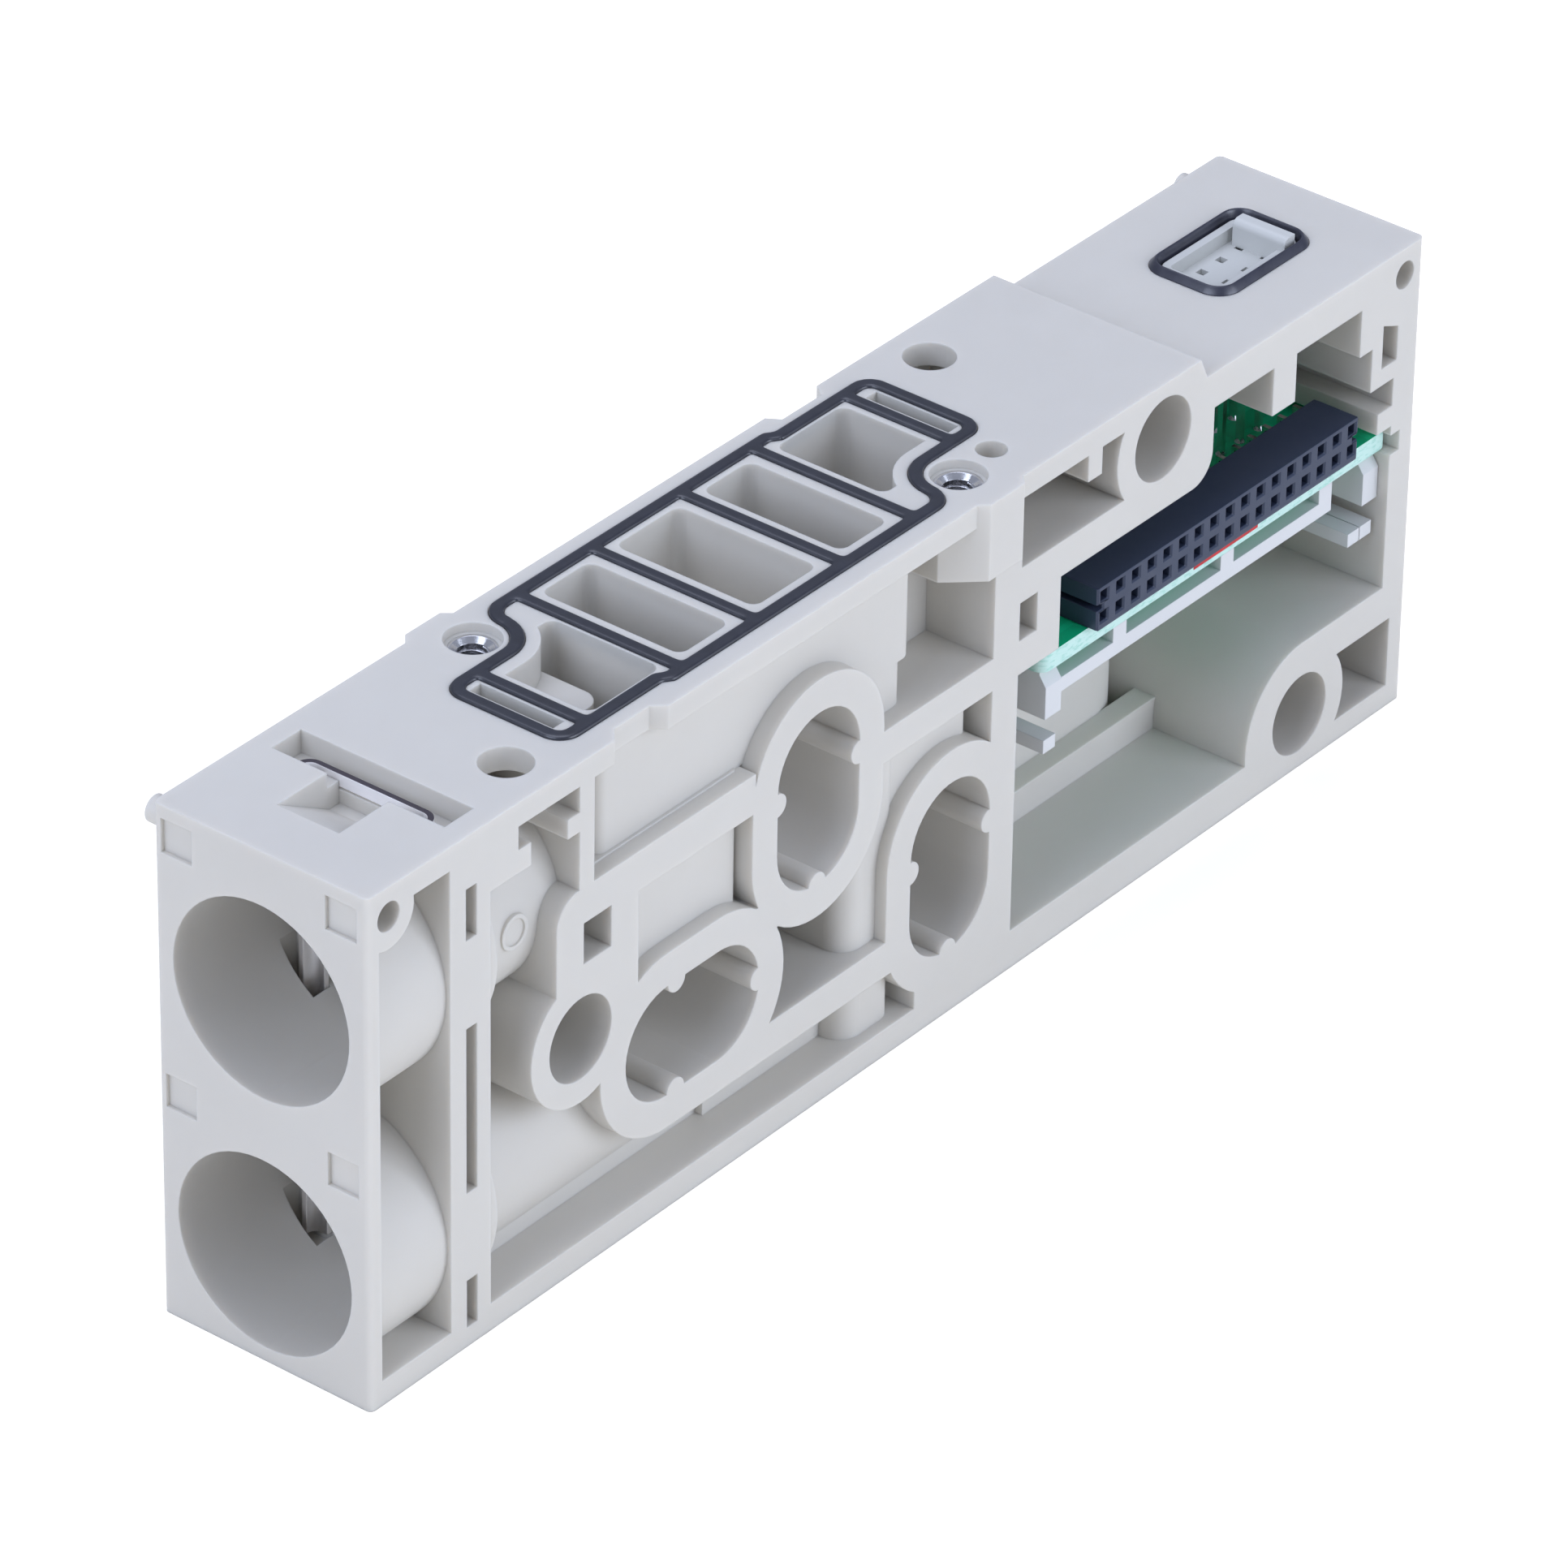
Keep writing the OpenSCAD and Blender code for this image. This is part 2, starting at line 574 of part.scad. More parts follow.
$fn = 48;
eps = 0.01;
cut = 1;
lap = 0.1;
far_in = body_w - far_wall_t;
under_deck = valve_deck_h - deck_t;
seat_c = [(seat_box[0] + seat_box[1]) / 2, (seat_box[2] + seat_box[3]) / 2];
insert_b = 2 * seat_c - insert_at;
groove_z = valve_deck_h - groove_d;
ring_r = oval_r + oval_wall;
y_low = -key_h;
y_high = body_w + header_reach;
bay_x1 = body_l - rear_wall_t;
ties = [tie_at[0], tie_at[1], [body_l - tie_rear[0], tie_rear[1]]];
pins = [pin_front, [body_l - pin_rear[0], pin_rear[1]]];
plug_at = [body_l - plug_seat[0], plug_seat[1]];
bottom_board_z = board_z - board_t;
board_x1 = body_l - board_rear;
board_y1 = far_in - board_far_gap;
housing_l = (ways - 1) * pitch + 2 * end_land;
housing_x = first_way_x - end_land;
row_z = [board_z + row_mid_h - row_pitch / 2, board_z + row_mid_h + row_pitch / 2];
plug_z = plug_deck_h - plug_sink;
clip_x = slot_x + slot_len - clip_gap - clip_t;
clip_leg_in = leg_slot[0] + leg_gap;

// Moves the working frame so that the bottom centre of the whole block is the origin.
module seat() {
    translate([-body_l / 2, -(y_low + y_high) / 2, 0])
        children();
}

// Extrudes a drawing of length and height from y0 to y1.
module side(y0, y1) {
    translate([0, y1, 0])
        rotate([90, 0, 0])
            linear_extrude(y1 - y0)
                children();
}

// A box between two corners.
module box(a, b) {
    translate(a)
        cube([b[0] - a[0], b[1] - a[1], b[2] - a[2]]);
}

// A rectangle between two corners.
module rect(x0, y0, x1, y1) {
    translate([x0, y0])
        square([x1 - x0, y1 - y0]);
}

// A rectangle with rounded corners between two corners.
module round_rect(x0, y0, x1, y1, r) {
    rect(x0 + r, y0, x1 - r, y1);
    rect(x0, y0 + r, x1, y1 - r);
    for (x = [x0 + r, x1 - r], y = [y0 + r, y1 - r])
        translate([x, y])
            circle(r = r);
}

// A slot shape round two end centres that share a row or a column.
module oval(ends, r) {
    translate(ends[0])
        circle(r = r);
    translate(ends[1])
        circle(r = r);
    if (ends[0][0] == ends[1][0])
        rect(ends[0][0] - r, ends[0][1], ends[0][0] + r, ends[1][1]);
    else
        rect(ends[0][0], ends[0][1] - r, ends[1][0], ends[0][1] + r);
}

// A cylinder along X.
module rod_x(x0, x1, y, z, r) {
    translate([x0, y, z])
        rotate([0, 90, 0])
            cylinder(r = r, h = x1 - x0);
}

// A straight piece of cord between two points.
module cord(a, b, w) {
    len = norm(b - a);
    ang = atan2(b[1] - a[1], b[0] - a[0]);
    translate(a)
        rotate(ang)
            translate([0, -w / 2])
                square([len, w]);
}

// A bent piece of cord: a quarter ring in the quadrant that q names.
module quarter_cord(c, r, w, q) {
    sx = (q == 1 || q == 4) ? 0 : -(r + w);
    sy = (q == 1 || q == 2) ? 0 : -(r + w);
    translate(c)
        intersection() {
            difference() {
                circle(r = r + w / 2);
                circle(r = r - w / 2);
            }
            translate([sx, sy])
                square([r + w, r + w]);
        }
}

// One half of the valve gasket's outline; the other half mirrors it through the seat's centre.
module gasket_half(w) {
    k = cord_corner_r;
    x0 = seat_box[0];
    top = insert_at[1] - bend_r;
    shift = insert_at[0] + bend_r + counter_r;
    cord([x0 + k, near_run_y], [jog_x - jog_half, near_run_y], w);
    cord([jog_x - jog_half, near_run_y], [jog_x + jog_half, seat_box[2]], w);
    for (p = [[jog_x - jog_half, near_run_y], [jog_x + jog_half, seat_box[2]]])
        translate(p)
            circle(r = w / 2);
    cord([jog_x + jog_half, seat_box[2]], [seat_c[0] + eps, seat_box[2]], w);
    cord([x0, near_run_y + k], [x0, top - k], w);
    quarter_cord([x0 + k, near_run_y + k], k, w, 3);
    quarter_cord([x0 + k, top - k], k, w, 2);
    cord([x0 + k, top], [insert_at[0], top], w);
    quarter_cord(insert_at, bend_r, w, 4);
    quarter_cord([shift, seat_box[3] - counter_r], counter_r, w, 2);
    cord([insert_at[0] + bend_r, seat_box[3] - counter_r], [insert_at[0] + bend_r, insert_at[1]], w);
    cord([shift, seat_box[3]], [seat_c[0] + eps, seat_box[3]], w);
    cord([end_bar_x, near_run_y], [end_bar_x, top], w);
}

// The whole valve gasket seen from above, as a cord of the given width.
module gasket_plan(w) {
    gasket_half(w);
    translate(2 * seat_c)
        rotate(180)
            gasket_half(w);
    for (x = bar_x)
        cord([x, seat_box[2]], [x, seat_box[3]], w);
}

// A rounded rectangle round the centre of the plug seat, smaller by the given inset.
module plug_plan(size, r, inset) {
    hx = size[0] / 2 - inset;
    hy = size[1] / 2 - inset;
    translate(plug_at)
        round_rect(-hx, -hy, hx, hy, r - inset);
}

// Outline of the plain block from above.
module plan() {
    f = front_round;
    r = rear_round;
    rect(f, 0, body_l - r, body_w);
    rect(0, f, body_l / 2, body_w - f);
    rect(body_l / 2, r, body_l, body_w - r);
    for (y = [f, body_w - f])
        translate([f, y])
            circle(r = f);
    for (y = [r, body_w - r])
        translate([body_l - r, y])
            circle(r = r);
}

// The block before its pockets: lower deck at the rear, upper deck with its sloping step.
module raw_block() {
    difference() {
        linear_extrude(valve_deck_h)
            plan();
        side(-cut, body_w + cut)
            polygon([
                [step_x, plug_deck_h], [step_x - step_run, valve_deck_h + eps],
                [step_x - step_run, valve_deck_h + cut], [body_l + cut, valve_deck_h + cut],
                [body_l + cut, plug_deck_h]
            ]);
    }
}

// Drawing of the open area between the ribs from the clip web to the board compartment.
module front_pockets() {
    r = pilot_block_r;
    solids = [
        pilot_block, pilot_rib, tie_web, link_bar, low_bar, mid_bar, rear_foot, hook_tip,
        bracket_low, bracket_high
    ];
    difference() {
        rect(web_x1, base_t + floor_lip, pockets_x1, under_deck);
        for (a = solids)
            rect(a[0], a[1], a[2], a[3]);
        rect(pilot_block[0] + r, pilot_block[3] - cut, pilot_shelf[0], pilot_shelf[1]);
        translate([pilot_block[0] + r, pilot_shelf[1] - r])
            circle(r = r);
        translate(ties[0])
            circle(r = tie_boss_r[0]);
        for (o = [oval_a, oval_b, oval_c])
            oval(o, ring_r);
    }
}

// Drawing of the pocket beside the second tie rod bore.
module upper_pocket() {
    difference() {
        rect(bay_x + lap, upper_pocket_at[0], upper_pocket_at[1], under_deck);
        translate(ties[1])
            circle(r = tie_boss_r[1]);
        rect(upper_rib[0], upper_rib[1], upper_rib[2], upper_rib[3]);
    }
}

// Drawing of the open board compartment with its stepped roof.
module board_bay() {
    arc = [ties[2][0], ties[2][1] - bay_arc_drop];
    inner = [roof_x[1] - roof_round, roof_z[1] + roof_round];
    difference() {
        union() {
            rect(bay_x, rear_base_t, bay_x1, roof_z[0]);
            rect(roof_x[0], rear_base_t, roof_x[1] + eps, roof_z[1]);
            for (i = [0, 1, 2])
                rect(roof_x[1], rear_base_t, body_l - roof_step_rear[i], roof_step_z[i]);
            rect(body_l - roof_step_rear[2] - eps, rear_recess_z, bay_x1, roof_step_z[2]);
        }
        rect(roof_rib[0], roof_rib[2], roof_rib[1], roof_z[2] + cut);
        translate(arc)
            circle(r = bay_arc_r);
        rect(arc[0] - bay_arc_r, 0, arc[0], arc[1]);
        rect(arc[0], 0, body_l, arc[1] + bay_arc_r);
    }
    difference() {
        rect(inner[0], roof_z[1] - eps, roof_x[1] + eps, inner[1]);
        translate(inner)
            circle(r = roof_round);
    }
}

// Drawing of the wedge pocket behind the third tie rod bore.
module wedge_pocket() {
    difference() {
        rect(ties[2][0], wedge_z[0], body_l - wedge_rear, wedge_z[1]);
        translate(ties[2])
            circle(r = tie_boss_r[2]);
    }
}

// The tubes, ducts and ledges that stand inside the pockets.
module inner_forms() {
    top = under_deck + eps;
    back = far_in + eps;
    bay_front = bay_x - lap;
    port_tubes();
    // Chamber walls under the valve deck, with the block of the pilot slot at their front
    rounded_duct(panel_x, panel_at[0], [panel_at[1], top], panel_r);
    box([slot_block[0], slot_block[1], panel_at[1]], [slot_block[2], back, top]);
    rounded_duct(neck_x, panel_at[0], [rear_cover_z[1] - lap, panel_at[1] + lap], panel_r);
    // Covers over the lying and the rear passage, pillar under the fourth chamber
    rounded_duct(cover_x, cover_y, cover_z, cover_r);
    rounded_duct(rear_cover_x, cover_y, rear_cover_z, panel_r);
    rounded_duct(pillar_x, pillar_y, [base_t, rear_cover_z[1]], pillar_r);
    // Wall round the rear end chamber and its duct
    box([end_wall[0], end_wall[1], end_wall[2]], [bay_x + lap, back, top]);
    box([bulge_wall[0], bulge_wall[1], bulge_wall[3]], [bulge_wall[2], back, top]);
    // Case of the hidden lower duct, with the foot of the lower port's tube
    box([web_x1 - eps, tube_foot[0], base_t], [low_tube_end, back, tube_foot[1]]);
    box([duct_case[0], duct_case[1], base_t], [low_tube_end, back, duct_case[4]]);
    box([low_tube_end - eps, duct_case[2], base_t], [duct_case[3], back, duct_case[4]]);
    // Case of the hidden upper duct, and the enclosure of the pry pocket
    box([upper_case[0], upper_case[2], upper_case[3]], [upper_case[1], back, upper_case[4]]);
    box([pry_ramp[0], pry_y[0] - pry_wall, port_z[0] + port_r], [web_x0 + eps, pry_y[1] + pry_wall, top]);
    // Walls in the board compartment
    box([bay_front, corner_block[1], corner_block[2]], [corner_block[0], back, top]);
    rounded_duct([bay_front, bay_wall_end[0]], bay_wall[0],
        [rear_base_t - eps, bay_wall[1]], [lap, bay_wall_end[1]]);
    box([bay_front, bay_ledge[0], rear_base_t - eps],
        [bay_wall_end[0], bay_wall[0] + lap, bay_ledge[1]]);
    insert_boss();
}

// An upright form from y0 to the closed side whose two near edges have their own rounding.
module rounded_duct(x, y0, z, r) {
    back = far_in + eps;
    translate([0, 0, z[0]])
        linear_extrude(z[1] - z[0]) {
            rect(x[0] + r[0], y0, x[1] - r[1], back);
            rect(x[0], y0 + r[0], x[0] + r[0] + eps, back);
            rect(x[1] - r[1] - eps, y0 + r[1], x[1], back);
            for (i = [0, 1])
                intersection() {
                    translate([x[i] + (i == 0 ? r[i] : -r[i]), y0 + r[i]])
                        circle(r = r[i]);
                    rect(x[0], y0, x[1], back);
                }
        }
}

// Both port tubes: a wide front part through the clip web and a narrower rear part.
module port_tubes() {
    intersection() {
        union() {
            for (z = port_z)
                rod_x(port_face_t - eps, port_depth + port_step_t, port_y, z, port_tube_r);
            rod_x(web_x1 - eps, upper_tube_end, port_y, port_z[0], throat_tube_r);
            rod_x(web_x1 - eps, low_tube_end, port_y, port_z[1], throat_tube_r);
        }
        box([0, 0, eps], [body_l, body_w, under_deck]);
    }
    translate([mark_disc_at[0], port_y - throat_tube_r + mark_ring_t, mark_disc_at[1]])
        rotate([90, 0, 0])
            difference() {
                cylinder(r = mark_disc_r, h = mark_ring_t + mark_ring_h);
                translate([0, 0, mark_ring_t])
                    cylinder(r = mark_disc_r - mark_ring_t, h = mark_ring_t + mark_ring_h);
            }
}

// The boss of the rear insert, whose slanted flank ends in the key rib.
module insert_boss() {
    k = boss_key_x;
    translate([0, 0, key_z])
        linear_extrude(valve_deck_h - key_z)
            polygon([
                [boss_flank[0], boss_back_y], boss_flank, [k[1], -key_h], [k[2], -key_h], [k[3], 0],
                [bay_x + lap, boss_foot_y], [bay_x + lap, boss_back_y]
            ]);
}

// Keys and pins added outside the plain block.
module outer_keys() {
    n = notch_x;
    left = key_h / notch_d * (n[1] - n[0]);
    right = key_h / notch_d * (n[3] - n[2]);
    translate([0, 0, key_z])
        linear_extrude(valve_deck_h - key_z)
            polygon([
                [n[0] + key_clear, body_w - eps], [n[0] + key_clear + left, body_w + key_h],
                [n[3] - key_clear - right, body_w + key_h], [n[3] - key_clear, body_w - eps]
            ]);
    for (p = pins)
        translate([p[0], body_w - eps, p[1]])
            rotate([-90, 0, 0])
                cylinder(r = pin_r, h = pin_len + eps);
}

// Everything cut from the finished outer forms of the block.
module body_cuts() {
    // Ports, throats and the hidden duct from the upper port to its chamber
    for (i = [0, 1]) {
        rod_x(-cut, port_depth, port_y, port_z[i], port_r);
        rod_x(port_depth - eps, throat_end[i], port_y, port_z[i], throat_r);
    }
    rod_x(throat_end[0] - cut, upper_duct_end, upper_duct[0], port_z[0], upper_duct[1]);
    // Mark recesses in the port face
    for (m = mark_at)
        box([-cut, m[0], m[1]], [mark_depth, m[0] + mark_side, m[1] + mark_side]);
    clip_slot_cuts();
    // Oval through passages, tie rod bores and pilot passages
    for (o = [oval_a, oval_b, oval_c])
        side(-cut, body_w + cut)
            oval(o, oval_r);
    for (t = ties)
        translate([t[0], -cut, t[1]])
            rotate([-90, 0, 0])
                cylinder(r = tie_r, h = body_w + 2 * cut);
    for (p = pilot_at)
        side(-cut, body_w + cut)
            rect(p[0], p[1], p[0] + p[2], p[1] + p[3]);
    valve_seat_cuts();
    // Plug opening and the seat of its ring
    translate([0, 0, plug_deck_h - plug_groove_d])
        linear_extrude(plug_groove_d + cut)
            plug_plan(plug_ring, plug_ring_r, -cord_gap);
    translate([0, 0, roof_step_z[2] - cut])
        linear_extrude(plug_deck_h - roof_step_z[2] + 2 * cut)
            plug_plan(plug_open, plug_open_round, 0);
    // Pin sockets
    for (p = pins)
        translate([p[0], -cut, p[1]])
            rotate([-90, 0, 0])
                cylinder(r = socket_r, h = socket_depth + cut);
    // Rear window and the slot that holds the board's rear end
    side(-cut, port_y)
        polygon([
            [body_l - window_rear[0], window_z[0]], [body_l - window_rear[1], window_z[0]],
            [body_l - window_rear[1], window_z[1]], [body_l - window_rear[0], window_z[2]]
        ]);
    box([bay_x1 - lap, -cut, bottom_board_z - board_fit],
        [board_x1 + board_fit, far_in, board_z + board_fit]);
    key_notches();
    // Window for the header and the hollow behind the compartment's wall
    box([housing_x - header_fit, far_in - 2 * header_fit, board_z - header_fit],
        [housing_x + housing_l + header_fit, body_w + cut, board_z + socket_h + header_fit]);
    box([bay_core[0], bay_core[2], bay_core[3]], [bay_core[1], body_w + cut, bay_core[4]]);
    side_seal_grooves();
}

// Clip slot: mouth with its ledge, two leg slots, side windows and the pry pocket.
module clip_slot_cuts() {
    half = slot_mouth_w / 2;
    floor_z = valve_deck_h - slot_mouth_depth;
    box([slot_x, port_y - half, valve_deck_h - slot_ledge_depth],
        [slot_x + slot_mouth_len, port_y + half, valve_deck_h + cut]);
    box([slot_x + slot_ledge_len, port_y - half, floor_z],
        [slot_x + slot_mouth_len, port_y + half, valve_deck_h]);
    for (s = [-1, 1])
        translate([0, port_y, 0])
            mirror([0, s < 0 ? 1 : 0, 0])
                box([slot_x, leg_slot[0], slot_floor_z], [slot_x + slot_len, leg_slot[1], valve_deck_h]);
    for (w = side_windows)
        box([slot_x, -cut, w[0]], [slot_x + side_window_len, port_y - leg_slot[1] + lap, w[1]]);
    side(pry_y[0], pry_y[1])
        polygon([
            [pry_ramp[0], valve_deck_h + eps], [pry_ramp[0], valve_deck_h + cut],
            [slot_x + slot_ledge_len + eps, valve_deck_h + cut],
            [slot_x + slot_ledge_len + eps, valve_deck_h - pry_depth],
            [pry_ramp[1], valve_deck_h - pry_depth]
        ]);
}

// Notch at the ribbed side and the notch at the closed side for the neighbour's boss key.
module key_notches() {
    n = notch_x;
    k = boss_key_x;
    left = (n[1] - n[0]) * cut / notch_d;
    right = (n[3] - n[2]) * cut / notch_d;
    translate([0, 0, under_deck])
        linear_extrude(deck_t + cut)
            polygon([[n[0] - left, -cut], [n[1], notch_d], [n[2], notch_d], [n[3] + right, -cut]]);
    translate([0, 0, key_z - key_clear])
        linear_extrude(valve_deck_h - key_z + key_clear + cut)
            polygon([
                [k[0] - key_clear, body_w + cut], [k[0] - key_clear, body_w - eps],
                [k[1] - key_clear, body_w - key_h - key_clear],
                [k[2] + key_clear, body_w - key_h - key_clear],
                [k[3] + key_clear, body_w - eps], [k[3] + key_clear, body_w + cut]
            ]);
}

// Chambers, pilot slots, inserts, gasket groove and holes of the valve seat.
module valve_seat_cuts() {
    translate([0, 0, groove_z])
        linear_extrude(groove_d + cut)
            gasket_plan(cord_w + 2 * cord_gap);
    for (i = [0, 1, 2])
        translate([0, 0, chamber_floor[i]])
            linear_extrude(valve_deck_h - chamber_floor[i] + cut)
                round_rect(chamber_x[i][0], chamber_y[0], chamber_x[i][1], chamber_y[1], chamber_round);
    // Hidden duct from the lower port up to the fourth chamber
    d = lower_duct;
    box([d[0], chamber_y[0], d[3]], [d[1], chamber_y[1], chamber_floor[2] + lap]);
    box([throat_end[1] - throat_r, d[2], d[3]], [d[1], chamber_y[1], d[4]]);
    // End chambers with their ducts; the front one keeps a ledge
    difference() {
        union() {
            end_chamber();
            chamber_duct(front_duct, duct_floor[0]);
        }
        inner_ledge();
    }
    at_other_end()
        end_chamber();
    chamber_duct(rear_duct, duct_floor[1]);
    pilot_slot(pilot_floor[0]);
    at_other_end()
        pilot_slot(pilot_floor[1]);
    for (p = [insert_at, insert_b])
        translate([p[0], p[1], 0]) {
            translate([0, 0, valve_deck_h - insert_sink])
                cylinder(r = insert_mouth_r, h = insert_sink + cut);
            translate([0, 0, valve_deck_h - insert_sink - insert_len])
                cylinder(r = insert_r, h = insert_len + eps);
        }
    for (p = [locate_a, locate_b])
        translate([p[0], p[1], under_deck - cut])
            cylinder(r = locate_r, h = deck_t + 2 * cut);
    translate([dimple_at[0], dimple_at[1], valve_deck_h - dimple_depth])
        cylinder(r = dimple_r, h = dimple_depth + cut);
}

// Repeats a form of the valve seat at its other end.
module at_other_end() {
    translate([2 * seat_c[0], 2 * seat_c[1], 0])
        rotate(180)
            children();
}

// Upper part of an end chamber, with its far corner kept clear of the insert.
module end_chamber() {
    translate([0, 0, end_chamber_z])
        linear_extrude(valve_deck_h - end_chamber_z + cut)
            difference() {
                round_rect(end_chamber_x[0], chamber_y[0], end_chamber_x[1], end_chamber_far, chamber_round);
                translate(insert_at)
                    circle(r = insert_land_r);
                rect(end_chamber_x[0] - cut, insert_at[1] - insert_land_r, insert_at[0], insert_at[1]);
            }
}

// An upright duct under an end chamber from the given floor.
module chamber_duct(d, z0) {
    translate([0, 0, z0])
        linear_extrude(end_chamber_z - z0 + eps)
            round_rect(d[0], d[2], d[1], d[3], chamber_round);
}

// The ledge that fills one corner of the front end chamber.
module inner_ledge() {
    e = chamber_ledge;
    r = chamber_ledge_round;
    linear_extrude(e[3]) {
        rect(e[0], e[2], e[1] - r, insert_at[1]);
        rect(e[0], e[2] + r, e[1], insert_at[1]);
        translate([e[1] - r, e[2] + r])
            circle(r = r);
    }
}

// A narrow pilot slot down to the given height.
module pilot_slot(z) {
    box([pilot_slot_x[0], pilot_slot_y[0], z],
        [pilot_slot_x[0] + pilot_slot_x[1], pilot_slot_y[1], valve_deck_h + cut]);
}

// Grooves on the closed side for the passage seals.
module side_seal_grooves() {
    for (o = [oval_a, oval_b, oval_c])
        side(body_w - seal_groove_d, body_w + cut)
            difference() {
                oval(o, oval_r + seal_land + seal_w + cord_gap);
                oval(o, oval_r + seal_land - cord_gap);
            }
    for (p = pilot_at)
        translate([p[0] + p[2] / 2, body_w + cut, p[1] + p[3] / 2])
            rotate([90, 0, 0])
                difference() {
                    cylinder(r = pilot_seal_r + pilot_seal_w + cord_gap, h = seal_groove_d + cut);
                    translate([0, 0, -cut])
                        cylinder(r = pilot_seal_r - cord_gap, h = seal_groove_d + 3 * cut);
                }
}

// Half-round lugs that run along the walls of the oval passages.
module lugs() {
    a = oval_a;
    spots = [
        [a[0][0] - oval_r + lug_from_end, a[0][1] + oval_r],
        [a[0][0] - oval_r + lug_from_end, a[0][1] - oval_r],
        [a[1][0] + oval_r, a[1][1]],
        [oval_b[0][0] - oval_r, oval_b[1][1] + oval_r - lug_from_end],
        [oval_b[0][0] + oval_r, oval_b[1][1] + oval_r - lug_from_end],
        [oval_b[0][0], oval_b[0][1] - oval_r],
        [oval_c[0][0] - oval_r, oval_c[1][1] + oval_r - lug_from_end],
        [oval_c[0][0] + oval_r, oval_c[1][1] + oval_r - lug_from_end],
        [oval_c[0][0], oval_c[0][1] - oval_r]
    ];
    for (s = spots)
        translate([s[0], 0, s[1]])
            rotate([-90, 0, 0])
                cylinder(r = lug_r, h = body_w - seal_groove_d);
}

// The moulded block with its ribs, tubes, decks and passages.
module body() {
    color([0.84, 0.84, 0.83])
        seat() {
            difference() {
                union() {
                    difference() {
                        raw_block();
                        side(-cut, far_in)
                            difference() {
                                rect(port_face_t, base_t, web_x0, under_deck);
                                translate(pins[0])
                                    circle(r = socket_boss_r);
                            }
                        side(-cut, far_in)
                            front_pockets();
                        side(-cut, far_in)
                            upper_pocket();
                        side(-cut, far_in)
                            board_bay();
                        side(-cut, far_in)
                            wedge_pocket();
                    }
                    inner_forms();
                    outer_keys();
                }
                body_cuts();
            }
            lugs();
        }
}

// The spring clip that holds the tube fittings, a channel whose long edges curl forward.
module retaining_clip() {
    top = valve_deck_h - clip_sink;
    color([0.72, 0.72, 0.73])
        seat()
            translate([0, port_y, 0]) {
                box([clip_x, -clip_leg_in - eps, top - clip_bar_h],
                    [clip_x + clip_t, clip_leg_in + eps, top]);
                for (s = [-1, 1])
                    mirror([0, s < 0 ? 1 : 0, 0])
                        translate([0, 0, clip_foot_z])
                            linear_extrude(top - clip_foot_z)
                                clip_leg_plan();
            }
}

// Plan of one leg of the clip: its flat and the curled edge.
module clip_leg_plan() {
    rect(clip_x, clip_leg_in, clip_x + clip_t, clip_half - clip_curl_r + eps);
    quarter_cord([clip_x + clip_t - clip_curl_r, clip_half - clip_curl_r],
        clip_curl_r - clip_t / 2, clip_t, 1);
}

// The ladder-shaped gasket under the valve.
module valve_gasket() {
    color([0.12, 0.12, 0.15])
        seat()
            translate([0, 0, groove_z])
                linear_extrude(groove_d + cord_proud)
                    gasket_plan(cord_w);
}

// The ring round the plug opening.
module plug_gasket() {
    color([0.16, 0.16, 0.22])
        seat()
            translate([0, 0, plug_deck_h - plug_groove_d])
                linear_extrude(plug_groove_d + plug_ring_proud)
                    difference() {
                        plug_plan(plug_ring, plug_ring_r, 0);
                        plug_plan(plug_ring, plug_ring_r, plug_ring_w);
                    }
}

// The two threaded inserts for the valve's screws.
module thread_inserts() {
    color([0.78, 0.78, 0.8])
        seat()
            for (p = [insert_at, insert_b])
                translate([p[0], p[1], valve_deck_h - insert_sink - insert_len])
                    difference() {
                        cylinder(r = insert_r, h = insert_len);
                        translate([0, 0, -cut])
                            cylinder(r = insert_bore_r, h = insert_len + 2 * cut);
                        translate([0, 0, insert_len - insert_lead])
                            cylinder(r1 = insert_bore_r, r2 = insert_bore_r + insert_lead,
                                h = insert_lead + eps);
                    }
}

// The board that joins the stack connectors and the valve's plug.
module circuit_board() {
    color([0.0, 0.5, 0.32])
        seat()
            difference() {
                translate([0, 0, bottom_board_z])
                    linear_extrude(board_t)
                        round_rect(board_x0, board_y0, board_x1, board_y1, board_round);
                plug_contact_spots()
                    post(plug_pin + 2 * contact_fit, bottom_board_z - cut, board_z + cut);
            }
}

// A square post round the origin's axis.
module post(w, z0, z1) {
    box([-w / 2, -w / 2, z0], [w / 2, w / 2, z1]);
}

// Places its child at each contact of a stack connector.
module ways_at() {
    for (i = [0:ways - 1], z = row_z)
        translate([first_way_x + i * pitch, 0, z])
            children();
}

// The double-row socket on the ribbed side.
module stack_socket() {
    y1 = socket_face_y + socket_d;
    x1 = housing_x + housing_l;
    z1 = board_z + socket_h;
    w = contact_w / 2 + contact_fit;
    t = contact_t / 2 + contact_fit;
    color([0.15, 0.16, 0.2])
        seat()
            difference() {
                box([housing_x, socket_face_y, board_z], [x1, y1, z1]);
                for (x = [housing_x - cut, x1 - end_groove_d])
                    box([x, socket_face_y - cut, board_z + end_groove[0]],
                        [x + end_groove_d + cut, y1 + cut, board_z + end_groove[1]]);
                ways_at() {
                    box([-contact_hole / 2, socket_face_y - cut, -contact_hole / 2],
                        [contact_hole / 2, socket_face_y + contact_hole_depth, contact_hole / 2]);
                    box([-w, socket_face_y, -t], [w, y1 + cut, t]);
                }
            }
}

